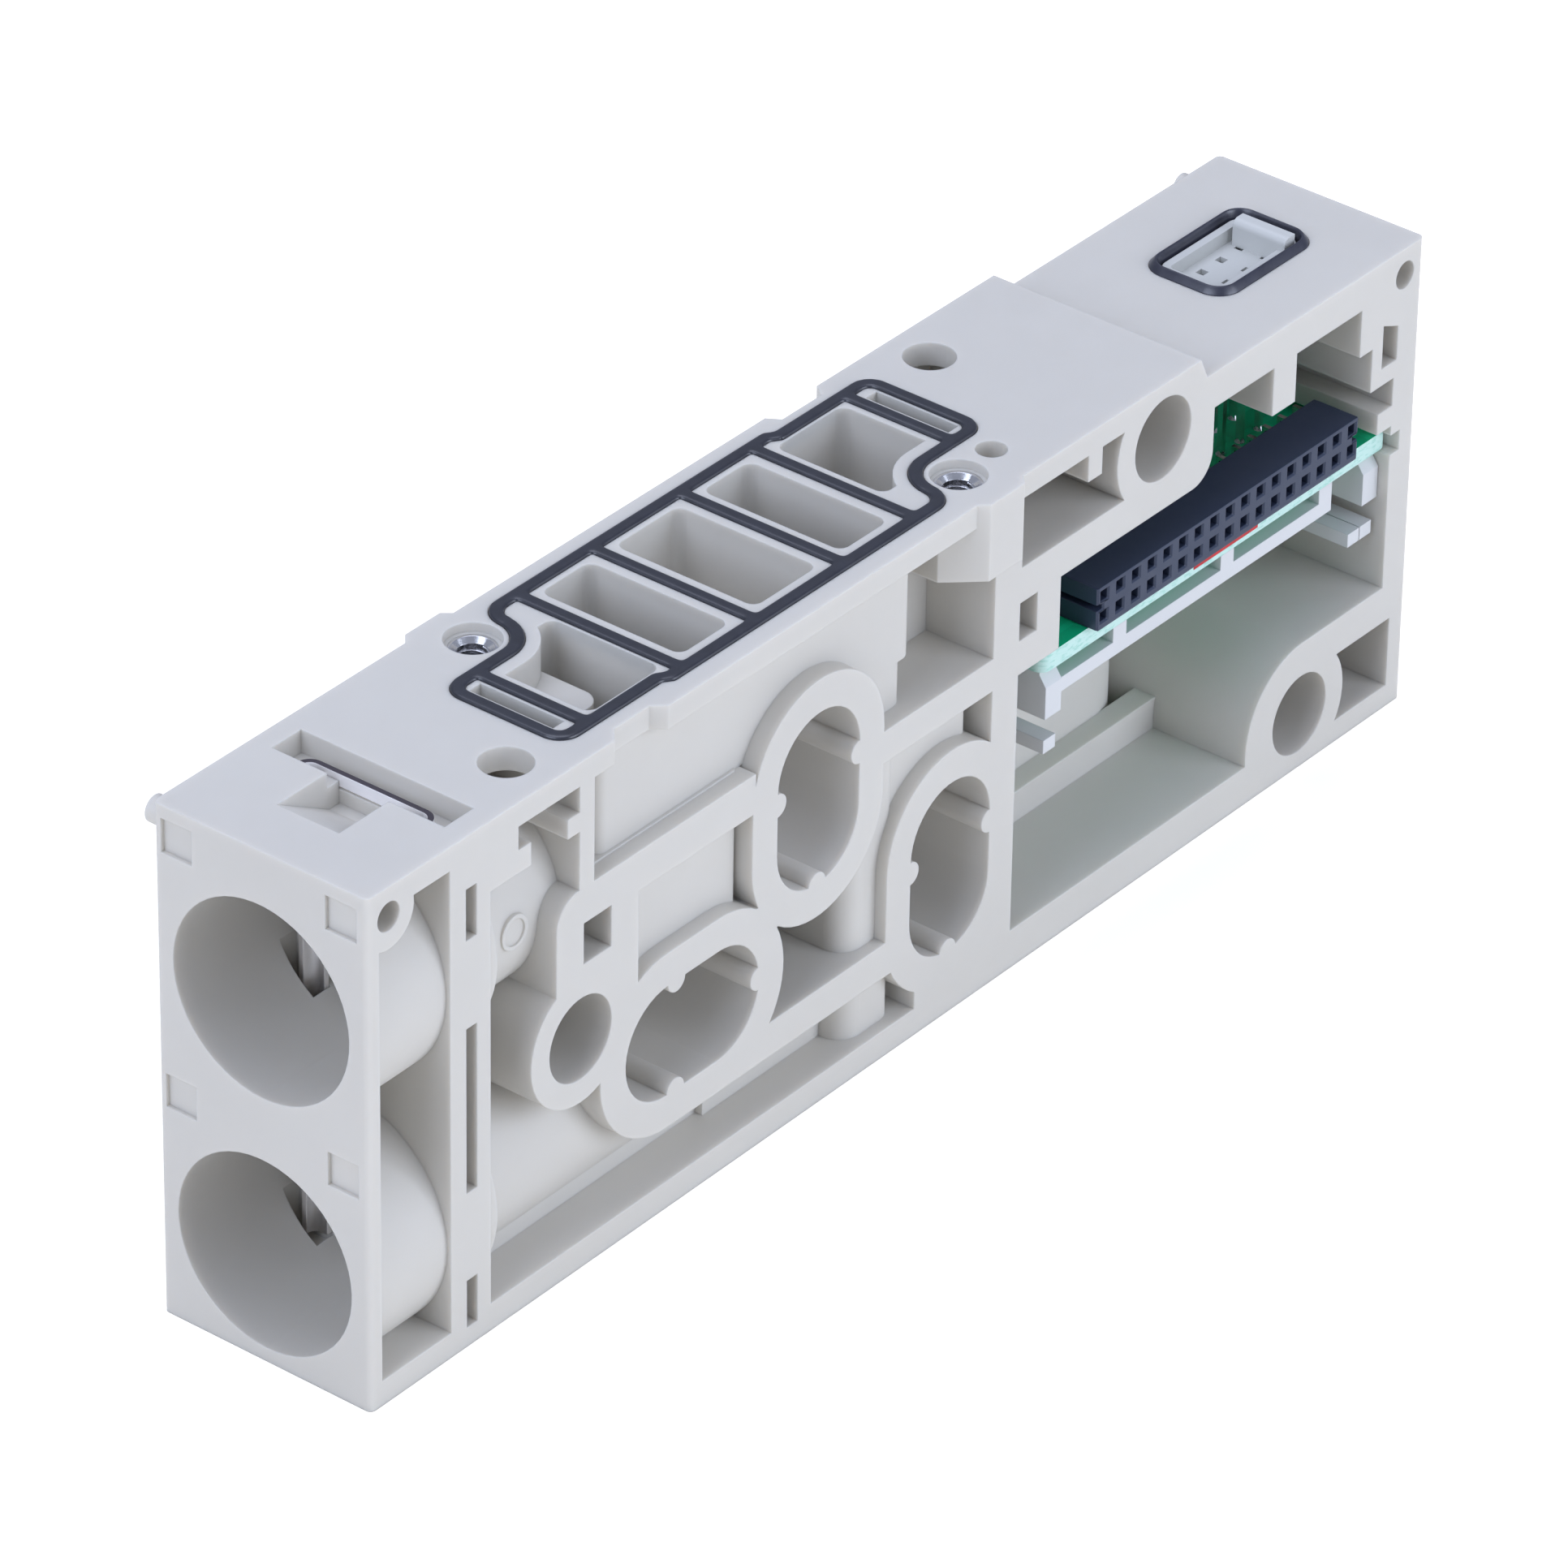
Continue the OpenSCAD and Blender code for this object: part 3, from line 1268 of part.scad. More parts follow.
// The blades inside the socket with their feet on the board.
module socket_contacts() {
    back = socket_face_y + socket_d;
    w = contact_w / 2;
    color([0.75, 0.68, 0.45])
        seat()
            for (i = [0:ways - 1], k = [0, 1]) {
                x = first_way_x + i * pitch;
                foot_y = back + foot_gap[1 - k];
                top = row_z[k] + contact_t / 2;
                box([x - w, socket_face_y + contact_hole_depth, row_z[k] - contact_t / 2],
                    [x + w, foot_y + contact_t, top]);
                box([x - w, foot_y, board_z], [x + w, foot_y + contact_t, top]);
            }
}

// The base of the pin header at the closed side.
module stack_header() {
    y1 = far_in + header_in;
    w = header_pin / 2 + contact_fit;
    color([0.12, 0.12, 0.14])
        seat()
            difference() {
                box([housing_x, y1 - header_d, board_z], [housing_x + housing_l, y1, board_z + socket_h]);
                ways_at()
                    box([-w, y1 - header_d - cut, -w], [w, y1 + cut, w]);
            }
}

// The square pins of the header, bent down to the board.
module header_pins() {
    p = header_pin / 2;
    back = far_in + header_in - header_d;
    color([0.8, 0.72, 0.42])
        seat()
            for (i = [0:ways - 1], k = [0, 1]) {
                x = first_way_x + i * pitch;
                foot_y = back - foot_gap[1 - k] - 2 * p;
                box([x - p, foot_y, row_z[k] - p], [x + p, y_high, row_z[k] + p]);
                box([x - p, foot_y, board_z], [x + p, foot_y + 2 * p, row_z[k] + p]);
            }
}

// The pale carrier under the board.
module board_carrier() {
    y0 = carrier_y;
    y1 = far_in - carrier_far_gap;
    low = bar_z[0];
    high = bar_z[1];
    rear = body_l - bar_rear;
    rear_arm = bay_x1 - arm_end_gap - arm_t;
    rear_rail = rear_arm - rail[1] - rail_gap;
    rail_top = rail_z + rail[0];
    color([0.93, 0.94, 0.96])
        seat() {
            // Long bars, and the cross bar with its link to the rear arm
            box([arm_x0 + arm_t - eps, y0, low], [rear, y0 + bar_d, high]);
            box([arm_x0 + arm_t - eps, y1 - bar_d, low], [rear_arm + eps, y1, high]);
            box([rear - post_len, y0, low], [rear, y1, high]);
            box([rear - eps, link_y, low], [rear_arm + eps, link_y + bar_d, high]);
            // Posts under the board
            for (x = [post_x[0], post_x[1], rear - post_len])
                box([x, y0, low], [x + post_len, y0 + bar_d, bottom_board_z]);
            box([rear - post_len, y1 - bar_d, low], [rear, y1, bottom_board_z]);
            carrier_arm(arm_x0, y0, y1);
            carrier_arm(rear_arm, y0, y1);
            // Tongues that rest at the compartment's front and rear walls
            box([bay_x + arm_end_gap, tongue_y, rail_z], [arm_x0 + rail[1], tongue_y + tongue_w, rail_top]);
            box([rear_rail, y0, rail_z], [rear_rail + rail[1], y1, rail_top]);
            box([rear_rail, tongue_y, rail_z], [rear_arm + arm_t, tongue_y + tongue_w, rail_top]);
        }
}

// One end arm with its chamfered near end, its lower rail and the two webs between them.
module carrier_arm(x, y0, y1) {
    z1 = bottom_board_z;
    chamfer_z = z1 - arm_neck_h;
    translate([x, 0, 0])
        rotate([90, 0, 90])
            linear_extrude(arm_t)
                polygon([
                    [y0, arm_z], [y1, arm_z], [y1, z1], [y0 + arm_chamfer[0], z1],
                    [y0 + arm_chamfer[0], chamfer_z], [y0, chamfer_z - arm_chamfer[1]]
                ]);
    box([x - lap, y0, rail_z], [x - lap + rail[1], y1, rail_z + rail[0]]);
    for (y = rail_web_y)
        box([x - lap, y, rail_z], [x - lap + rail[1], y + rail_web_w, arm_z + eps]);
}

// Places its child at each contact of the plug.
module plug_contact_spots() {
    c = plug_at + plug_grid_shift;
    for (i = [-1, 0, 1], j = [-0.5, 0.5])
        translate([c[0] + i * plug_pitch, c[1] + j * plug_pitch, 0])
            children();
}

// The six-way connector for the valve's plug: a tray with an upright keying plate.
module plug_connector() {
    plate = [plug_at[0] + key_plate_x[0], plug_at[0] + key_plate_x[1]];
    y0 = plug_at[1] - plug_open[1] / 2 + plug_fit;
    r = key_plate_round;
    color([0.8, 0.85, 0.86])
        seat() {
            difference() {
                translate([0, 0, plug_z - plug_block_h])
                    linear_extrude(plug_block_h + plug_rim_h)
                        plug_plan(plug_open, plug_open_round, plug_fit);
                translate([0, 0, plug_z])
                    linear_extrude(plug_rim_h + cut)
                        plug_plan(plug_open, plug_open_round, plug_fit + plug_rim_t);
                plug_contact_spots()
                    post(plug_hole, plug_z - plug_hole_depth, plug_z + cut);
                plug_contact_spots()
                    post(plug_pin + 2 * contact_fit, plug_z - plug_block_h - cut,
                        plug_z - plug_hole_depth + eps);
            }
            side(y0, y0 + key_plate_w) {
                rect(plate[0], plug_z - eps, plate[1], plug_z + key_plate_h - r);
                rect(plate[0] + r, plug_z - eps, plate[1], plug_z + key_plate_h);
                translate([plate[0] + r, plug_z + key_plate_h - r])
                    circle(r = r);
            }
        }
}

// The long contacts between the plug connector and the board.
module plug_contacts() {
    color([0.8, 0.74, 0.5])
        seat()
            plug_contact_spots()
                post(plug_pin, bottom_board_z - plug_tail, plug_z - plug_hole_depth);
}

// A seal on the closed side round an oval passage.
module passage_seal(ends) {
    color([0.13, 0.13, 0.15])
        seat()
            side(body_w - seal_groove_d, body_w + seal_proud)
                difference() {
                    oval(ends, oval_r + seal_land + seal_w);
                    oval(ends, oval_r + seal_land);
                }
}

// Seal of the supply passage.
module supply_seal() {
    passage_seal(oval_b);
}

// Seal of the lying exhaust passage.
module front_exhaust_seal() {
    passage_seal(oval_a);
}

// Seal of the rear exhaust passage.
module rear_exhaust_seal() {
    passage_seal(oval_c);
}

// The two round seals of the pilot passages.
module pilot_seals() {
    color([0.13, 0.13, 0.15])
        seat()
            for (p = pilot_at)
                translate([p[0] + p[2] / 2, body_w + seal_proud, p[1] + p[3] / 2])
                    rotate([90, 0, 0])
                        difference() {
                            cylinder(r = pilot_seal_r + pilot_seal_w, h = seal_groove_d + seal_proud);
                            translate([0, 0, -cut])
                                cylinder(r = pilot_seal_r, h = seal_groove_d + seal_proud + 2 * cut);
                        }
}

body();
retaining_clip();
valve_gasket();
plug_gasket();
thread_inserts();
circuit_board();
stack_socket();
socket_contacts();
stack_header();
header_pins();
board_carrier();
plug_connector();
plug_contacts();
supply_seal();
front_exhaust_seal();
rear_exhaust_seal();
pilot_seals();
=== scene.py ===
"""Looks of a pneumatic valve manifold block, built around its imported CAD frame.

Lengths inside the classes of pieces are in millimetres, and places are in the block's
working frame: X from the port face, Y from the ribbed side, Z from the base. Workbench
turns them into metres in the shared frame. Heights and depths in the finishes are in
metres, and their scales are in cells per metre.

KEY_HEIGHT is how far the stack keys stand out of the ribbed side, WELD_GAP the distance
in metres at which loose corners are merged, LEVEL the upward share of a level face's
normal, and SOFT_NODES the CAD nodes whose edges are rounded, with width and facets.
"""

import json
import logging
import math
from dataclasses import dataclass, field
from enum import Enum

import bpy
from mathutils import Euler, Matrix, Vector


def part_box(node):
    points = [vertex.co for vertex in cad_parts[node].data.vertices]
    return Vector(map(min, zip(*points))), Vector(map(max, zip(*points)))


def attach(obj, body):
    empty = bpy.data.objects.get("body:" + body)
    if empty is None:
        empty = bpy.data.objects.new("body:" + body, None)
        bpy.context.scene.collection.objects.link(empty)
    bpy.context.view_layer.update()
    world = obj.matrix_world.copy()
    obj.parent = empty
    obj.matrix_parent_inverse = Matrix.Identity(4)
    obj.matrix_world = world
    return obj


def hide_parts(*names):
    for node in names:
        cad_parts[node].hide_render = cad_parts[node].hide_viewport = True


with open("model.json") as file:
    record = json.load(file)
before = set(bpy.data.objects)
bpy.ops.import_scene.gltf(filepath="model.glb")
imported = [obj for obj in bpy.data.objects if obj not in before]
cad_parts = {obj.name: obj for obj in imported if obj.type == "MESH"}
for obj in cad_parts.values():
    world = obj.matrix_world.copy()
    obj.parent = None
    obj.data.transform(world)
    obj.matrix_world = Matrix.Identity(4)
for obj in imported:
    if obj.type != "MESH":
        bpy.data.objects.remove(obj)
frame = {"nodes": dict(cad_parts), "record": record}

log = logging.getLogger("manifold_block")

MM = 0.001
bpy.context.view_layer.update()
KEY_HEIGHT = 0.75
WELD_GAP = 0.000002
LEVEL = 0.9
SOFT_NODES = (("stack_socket", 0.14, 1), ("retaining_clip", 0.07, 2), ("board_carrier", 0.12, 2))


class Slot(Enum):
    """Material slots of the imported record."""

    HOUSING = "housing_plastic"
    SPRING = "spring_steel"
    RUBBER = "black_rubber"
    INSERT = "insert_steel"
    BOARD = "board_green"
    CONNECTOR = "connector_dark"
    CONTACT = "contact_metal"
    CARRIER = "carrier_white"
    PLUG = "plug_natural"


class Carrier(Enum):
    """Bodies that a piece can ride on."""

    BLOCK = "block"
    CLIP = "clip"


class Workbench:
    """Places and finishes pieces in the shared frame."""

    def __init__(self) -> None:
        """Reads the block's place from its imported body."""
        low, _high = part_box("body")
        self.origin = Vector((low.x, low.y + KEY_HEIGHT * MM, low.z))

    def at(self, x: float, y: float, z: float) -> Vector:
        """Turns a working point into a shared one.

        Args:
            x: Distance from the port face in millimetres.
            y: Distance from the ribbed side in millimetres.
            z: Height in millimetres.

        Returns:
            The point in metres in the shared frame.
        """
        return self.origin + Vector((x, y, z)) * MM

    @staticmethod
    def deselect() -> None:
        """Leaves edit mode and deselects everything."""
        if bpy.context.object and bpy.context.object.mode != "OBJECT":
            bpy.ops.object.mode_set(mode="OBJECT")
        bpy.ops.object.select_all(action="DESELECT")

    @staticmethod
    def activate(piece: bpy.types.Object) -> None:
        """Makes one piece the only selected and active one.

        Args:
            piece: The object to activate.
        """
        Workbench.deselect()
        piece.select_set(True)
        bpy.context.view_layer.objects.active = piece

    def apply_place(self, piece: bpy.types.Object) -> None:
        """Moves a piece's place into its mesh.

        Args:
            piece: The object whose transform is applied.
        """
        self.activate(piece)
        bpy.ops.object.transform_apply(location=True, rotation=True, scale=True)

    def apply_modifiers(self, piece: bpy.types.Object) -> None:
        """Applies every modifier of a piece in order.

        Args:
            piece: The object whose modifiers are applied.
        """
        self.activate(piece)
        for modifier in list(piece.modifiers):
            bpy.ops.object.modifier_apply(modifier=modifier.name)

    @staticmethod
    def round_edges(piece: bpy.types.Object, width: float, segments: int, angle: float) -> None:
        """Adds a live rounding to a piece.

        Args:
            piece: The object to round.
            width: Width of the rounding in millimetres.
            segments: Number of facets across it.
            angle: Smallest edge angle in degrees that is rounded.
        """
        edge = piece.modifiers.new("edge_round", "BEVEL")
        edge.width = width * MM
        edge.segments = segments
        edge.limit_method = "ANGLE"
        edge.angle_limit = math.radians(angle)

    def bevel(self, piece: bpy.types.Object, width: float, segments: int, angle: float) -> None:
        """Rounds a piece's edges and applies the rounding.

        Args:
            piece: The object to round.
            width: Width of the rounding in millimetres.
            segments: Number of facets across it.
            angle: Smallest edge angle in degrees that is rounded.
        """
        self.round_edges(piece, width, segments, angle)
        self.apply_modifiers(piece)

    def soften_node(self, node: str, width: float, segments: int, angle: float = 40.0) -> None:
        """Lays live rounding over a CAD node without changing its mesh.

        Args:
            node: The CAD node's name.
            width: Width of the rounding in millimetres.
            segments: Number of facets across it.
            angle: Smallest edge angle in degrees that is rounded.
        """
        piece = frame["nodes"][node]
        weld = piece.modifiers.new("weld", "WELD")
        weld.merge_threshold = WELD_GAP
        self.round_edges(piece, width, segments, angle)

    def join(self, name: str, pieces: list[bpy.types.Object]) -> bpy.types.Object:
        """Joins several meshes into one piece.

        Args:
            name: Name of the joined piece.
            pieces: The objects to join; the first one stays.

        Returns:
            The joined object.
        """
        self.deselect()
        for piece in pieces:
            piece.select_set(True)
        bpy.context.view_layer.objects.active = pieces[0]
        if len(pieces) > 1:
            bpy.ops.object.join()
        pieces[0].name = name
        pieces[0].data.name = name
        return pieces[0]

    def merged_copy(self, node: str, name: str) -> bpy.types.Object:
        """Copies a CAD node and merges its loose triangles.

        Args:
            node: The CAD node's name.
            name: The copy's name.

        Returns:
            The merged copy, free of its body.
        """
        source = frame["nodes"][node]
        twin = source.copy()
        twin.data = source.data.copy()
        for key in list(twin.keys()):
            del twin[key]
        twin.parent = None
        twin.name = name
        twin.data.name = name
        bpy.context.scene.collection.objects.link(twin)
        self.activate(twin)
        bpy.ops.object.mode_set(mode="EDIT")
        bpy.ops.mesh.select_all(action="SELECT")
        bpy.ops.mesh.remove_doubles(threshold=WELD_GAP)
        bpy.ops.object.mode_set(mode="OBJECT")
        return twin

    def hand_over(
        self,
        piece: bpy.types.Object,
        name: str,
        material: bpy.types.Material,
        slot: Slot,
        carrier: Carrier = Carrier.BLOCK,
        smooth: float = 35.0,
    ) -> bpy.types.Object:
        """Shades, names, dresses and seats a finished piece.

        Args:
            piece: The finished mesh.
            name: The piece's name.
            material: Its finish.
            slot: The record's slot that the finish belongs to; not used.
            carrier: The body that it rides on.
            smooth: Largest angle in degrees that is shaded smooth.

        Returns:
            The same piece.
        """
        self.apply_place(piece)
        bpy.ops.object.shade_smooth_by_angle(angle=math.radians(smooth))
        piece.name = name
        piece.data.name = name
        piece.data.materials.clear()
        piece.data.materials.append(material)
        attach(piece, carrier.value)
        log.info("%s: %d faces", name, len(piece.data.polygons))
        return piece


class NodeTree:
    """A short way to wire a material's nodes."""

    edge_samples: int = 6

    def __init__(self, name: str) -> None:
        """Starts an empty material with a Principled shader.

        Args:
            name: The material's name.
        """
        self.material = bpy.data.materials.new(name)
        self.material.use_nodes = True
        self.tree = self.material.node_tree
        self.tree.nodes.clear()
        self.output = self.tree.nodes.new("ShaderNodeOutputMaterial")
        self.shader = self.tree.nodes.new("ShaderNodeBsdfPrincipled")
        self.link(self.shader.outputs["BSDF"], self.output.inputs["Surface"])
        self.coords = self.tree.nodes.new("ShaderNodeTexCoord")

    def link(self, source: bpy.types.NodeSocket, target: bpy.types.NodeSocket) -> None:
        """Joins two sockets."""
        self.tree.links.new(source, target)

    def noise(self, scale: float, detail: float = 3.0, rough: float = 0.5,
              stretch: tuple[float, float, float] = (1.0, 1.0, 1.0)) -> bpy.types.NodeSocket:
        """Adds a noise pattern on object coordinates.

        Args:
            scale: Cells per metre.
            detail: Number of octaves.
            rough: Strength of the finer octaves.
            stretch: Factors on the three axes.

        Returns:
            The pattern's value socket.
        """
        mapping = self.tree.nodes.new("ShaderNodeMapping")
        mapping.inputs["Scale"].default_value = stretch
        self.link(self.coords.outputs["Object"], mapping.inputs["Vector"])
        node = self.tree.nodes.new("ShaderNodeTexNoise")
        node.inputs["Scale"].default_value = scale
        node.inputs["Detail"].default_value = detail
        node.inputs["Roughness"].default_value = rough
        self.link(mapping.outputs["Vector"], node.inputs["Vector"])
        return node.outputs["Fac"]

    def upward(self, coordinate: str) -> bpy.types.NodeSocket:
        """Takes the upward part of a texture coordinate.

        Args:
            coordinate: The coordinate's name, Object or Normal.

        Returns:
            The part along Z.
        """
        split = self.tree.nodes.new("ShaderNodeSeparateXYZ")
        self.link(self.coords.outputs[coordinate], split.inputs["Vector"])
        return split.outputs["Z"]

    def spread(self, value: bpy.types.NodeSocket, low: float, high: float,
               start: float = 0.3, end: float = 0.7) -> bpy.types.NodeSocket:
        """Maps a pattern onto a range of values.

        Args:
            value: The pattern.
            low: Result at the start of the pattern's range.
            high: Result at its end.
            start: Pattern value that gives the low result.
            end: Pattern value that gives the high result.

        Returns:
            The mapped value socket.
        """
        node = self.tree.nodes.new("ShaderNodeMapRange")
        node.inputs["From Min"].default_value = start
        node.inputs["From Max"].default_value = end
        node.inputs["To Min"].default_value = low
        node.inputs["To Max"].default_value = high
        self.link(value, node.inputs["Value"])
        return node.outputs["Result"]

    def blend(self, fac: bpy.types.NodeSocket, first: object, second: object) -> bpy.types.NodeSocket:
        """Mixes two colours or colour sockets by a factor.

        Args:
            fac: The factor socket.
            first: Colour or socket at factor 0.
            second: Colour or socket at factor 1.

        Returns:
            The mixed colour socket.
        """
        node = self.tree.nodes.new("ShaderNodeMix")
        node.data_type = "RGBA"
        self.link(fac, node.inputs["Factor"])
        for value, socket in ((first, node.inputs["A"]), (second, node.inputs["B"])):
            if isinstance(value, bpy.types.NodeSocket):
                self.link(value, socket)
            else:
                socket.default_value = (*value, 1.0)
        return node.outputs["Result"]

    def surface(self, bumps: list[tuple[bpy.types.NodeSocket, float, float]], edge: float) -> None:
        """Sets the normal: softened edges first, then bumps on top.

        Args:
            bumps: Pattern, strength and height in metres of each bump.
            edge: Radius in millimetres of the softened edges, or 0.
        """
        current = None
        if edge > 0:
            bevel = self.tree.nodes.new("ShaderNodeBevel")
            bevel.samples = self.edge_samples
            bevel.inputs["Radius"].default_value = edge * MM
            current = bevel.outputs["Normal"]
        for value, strength, height in bumps:
            bump = self.tree.nodes.new("ShaderNodeBump")
            bump.inputs["Strength"].default_value = strength
            bump.inputs["Distance"].default_value = height
            self.link(value, bump.inputs["Height"])
            if current is not None:
                self.link(current, bump.inputs["Normal"])
            current = bump.outputs["Normal"]
        if current is not None:
            self.link(current, self.shader.inputs["Normal"])


@dataclass(frozen=True)
class MouldedPlastic:
    """Matt moulded plastic with a fine spark-eroded grain."""

    name: str
    colour: tuple[float, float, float]
    shade: tuple[float, float, float]
    rough: tuple[float, float] = (0.42, 0.56)
    grain: float = 0.10
    edge: float = 0.16
    glow: float = 0.0
    glow_depth: float = 0.0012
    glow_tint: tuple[float, float, float] = (1.0, 0.9, 0.8)
    refraction: float = 1.5
    cloud_scale: float = 55.0
    polish_scale: float = 420.0
    grain_scale: float = 5200.0
    grain_depth: float = 0.00003

    def material(self) -> bpy.types.Material:
        """Builds the finish.

        Returns:
            The material.
        """
        net = NodeTree(self.name)
        cloud = net.noise(self.cloud_scale)
        fine = net.noise(self.grain_scale, detail=2.0, rough=0.6)
        net.link(net.blend(net.spread(cloud, 0.0, 1.0), self.colour, self.shade),
                 net.shader.inputs["Base Color"])
        polish = net.noise(self.polish_scale, detail=4.0)
        net.link(net.spread(polish, *self.rough), net.shader.inputs["Roughness"])
        net.shader.inputs["IOR"].default_value = self.refraction
        if self.glow > 0:
            net.shader.inputs["Subsurface Weight"].default_value = self.glow
            net.shader.inputs["Subsurface Radius"].default_value = self.glow_tint
            net.shader.inputs["Subsurface Scale"].default_value = self.glow_depth
        net.surface([(fine, self.grain, self.grain_depth)], self.edge)
        return net.material


@dataclass(frozen=True)
class SealRubber:
    """Blue-black moulded rubber with a soft bloom."""

    name: str
    colour: tuple[float, float, float] = (0.008, 0.009, 0.016)
    bloom: tuple[float, float, float] = (0.013, 0.015, 0.026)
    rough: tuple[float, float] = (0.28, 0.40)
    gloss: float = 0.85
    bloom_scale: float = 600.0
    polish_scale: float = 900.0
    grain_scale: float = 7000.0
    grain: float = 0.12
    grain_depth: float = 0.00003

    def material(self) -> bpy.types.Material:
        """Builds the finish.

        Returns:
            The material.
        """
        net = NodeTree(self.name)
        cloud = net.noise(self.bloom_scale, detail=5.0, rough=0.65)
        net.link(net.blend(net.spread(cloud, 0.0, 1.0), self.colour, self.bloom),
                 net.shader.inputs["Base Color"])
        polish = net.noise(self.polish_scale, detail=4.0)
        net.link(net.spread(polish, *self.rough), net.shader.inputs["Roughness"])
        net.shader.inputs["Specular IOR Level"].default_value = self.gloss
        net.surface([(net.noise(self.grain_scale, detail=2.0), self.grain, self.grain_depth)], 0.0)
        return net.material


@dataclass(frozen=True)
class BrightSteel:
    """Rolled or turned steel with fine drawn lines along one axis."""

    name: str
    colour: tuple[float, float, float] = (0.66, 0.65, 0.66)
    rough: tuple[float, float] = (0.16, 0.3)
    stretch: tuple[float, float, float] = (1.0, 0.05, 1.0)
    edge: float = 0.06
    # Near-black painted shade, laid on the upward faces, or on everything above a given height when one is
    # set.
    painted_shade: tuple[float, float, float] | None = None
    painted_shade_from: float = 0.0
    # Painted reflection: above the given height the steel is only partly metallic, so its pale colour shows
    # bright.
    painted_reflection_metal: float = 1.0
    painted_reflection_from: float = 0.0
    upward_from: tuple[float, float] = (0.6, 0.9)
    patch_scale: float = 300.0
    patch_shade: float = 0.9
    line_scale: float = 9000.0
    line_bump: float = 0.08
    line_depth: float = 0.00002

    def material(self) -> bpy.types.Material:
        """Builds the finish, with near-black painted shade on its upward faces or above a height.

        Above a given height it is less metallic, so that its pale colour shows as a painted reflection on the
        bar's bright front.

        Returns:
            The material.
        """
        net = NodeTree(self.name)
        lines = net.noise(self.line_scale, detail=2.0, stretch=self.stretch)
        base = net.blend(net.spread(net.noise(self.patch_scale), 0.0, 1.0), self.colour,
                         tuple(self.patch_shade * c for c in self.colour))
        # Painted shade: the upward faces, or everything above a height, turn near black.
        if self.painted_shade:
            place = net.upward("Object" if self.painted_shade_from else "Normal")
            start, end = (self.painted_shade_from, self.painted_shade_from + MM) if self.painted_shade_from else self.upward_from
            base = net.blend(net.spread(place, 0.0, 1.0, start, end), base, self.painted_shade)
        net.link(base, net.shader.inputs["Base Color"])
        net.shader.inputs["Metallic"].default_value = 1.0
        # Painted reflection: less metallic above a height, so the pale colour shows as a bright front.
        if self.painted_reflection_from:
            painted_reflection_mix = net.spread(net.upward("Object"), 1.0, self.painted_reflection_metal, self.painted_reflection_from, self.painted_reflection_from + MM)
            net.link(painted_reflection_mix, net.shader.inputs["Metallic"])
        net.link(net.spread(lines, *self.rough), net.shader.inputs["Roughness"])
        net.surface([(lines, self.line_bump, self.line_depth)], self.edge)
        return net.material


@dataclass(frozen=True)
class ResistBoard:
    """Green solder resist over copper tracks, with a pale glass-fibre edge."""

    name: str
    resist: tuple[float, float, float] = (0.006, 0.56, 0.25)
    track: tuple[float, float, float] = (0.010, 0.62, 0.29)
    fibre: tuple[float, float, float] = (0.55, 0.78, 0.70)
    weave: tuple[float, float, float] = (0.36, 0.66, 0.56)
    rough: tuple[float, float] = (0.28, 0.42)
    pad_shade: float = 0.9
    track_scale: float = 190.0
    track_width: float = 0.06
    pad_size: tuple[float, float] = (1.4, 0.42)
    side_from: tuple[float, float] = (0.3, 0.6)
    weave_scale: float = 2600.0
    weave_stretch: tuple[float, float, float] = (0.5, 0.5, 1.6)
    weave_from: tuple[float, float] = (0.50, 0.66)
    polish_scale: float = 800.0
    grain_scale: float = 3000.0
    grain: float = 0.08
    grain_depth: float = 0.00003
    edge: float = 0.05

    def material(self) -> bpy.types.Material:
        """Builds the finish.

        Returns:
            The material.
        """
        net = NodeTree(self.name)
        bricks = net.tree.nodes.new("ShaderNodeTexBrick")
        bricks.inputs["Scale"].default_value = self.track_scale
        bricks.inputs["Mortar Size"].default_value = self.track_width
        bricks.inputs["Brick Width"].default_value = self.pad_size[0]
        bricks.inputs["Row Height"].default_value = self.pad_size[1]
        bricks.inputs["Color1"].default_value = (*self.resist, 1.0)
        bricks.inputs["Color2"].default_value = (*(self.pad_shade * c for c in self.resist), 1.0)
        bricks.inputs["Mortar"].default_value = (*self.track, 1.0)
        net.link(net.coords.outputs["Object"], bricks.inputs["Vector"])
        level = net.tree.nodes.new("ShaderNodeMath")
        level.operation = "ABSOLUTE"
        net.link(net.upward("Normal"), level.inputs[0])
        side = net.spread(level.outputs["Value"], 1.0, 0.0, *self.side_from)
        threads = net.noise(self.weave_scale, rough=0.6, stretch=self.weave_stretch)
        speck = net.blend(net.spread(threads, 0.0, 1.0, *self.weave_from), self.fibre, self.weave)
        net.link(net.blend(side, bricks.outputs["Color"], speck), net.shader.inputs["Base Color"])
        net.link(net.spread(net.noise(self.polish_scale), *self.rough), net.shader.inputs["Roughness"])
        net.surface([(net.noise(self.grain_scale, detail=2.0), self.grain, self.grain_depth)], self.edge)
        return net.material


@dataclass(frozen=True)
class BoardPaint:
    """A brushed stripe of red marking paint."""

    name: str
    colour: tuple[float, float, float] = (0.62, 0.015, 0.02)
    thin_shade: float = 0.7
    rough: tuple[float, float] = (0.35, 0.55)
    cover_scale: float = 1200.0
    polish_scale: float = 700.0
    brush_scale: float = 1800.0
    brush: float = 0.15
    brush_depth: float = 0.00005

    def material(self) -> bpy.types.Material:
        """Builds the finish.

        Returns:
            The material.
        """
        net = NodeTree(self.name)
        cover = net.spread(net.noise(self.cover_scale, detail=4.0), 0.0, 1.0)
        net.link(net.blend(cover, self.colour, tuple(self.thin_shade * c for c in self.colour)),
                 net.shader.inputs["Base Color"])
        net.link(net.spread(net.noise(self.polish_scale), *self.rough), net.shader.inputs["Roughness"])
        net.surface([(net.noise(self.brush_scale), self.brush, self.brush_depth)], 0.0)
        return net.material


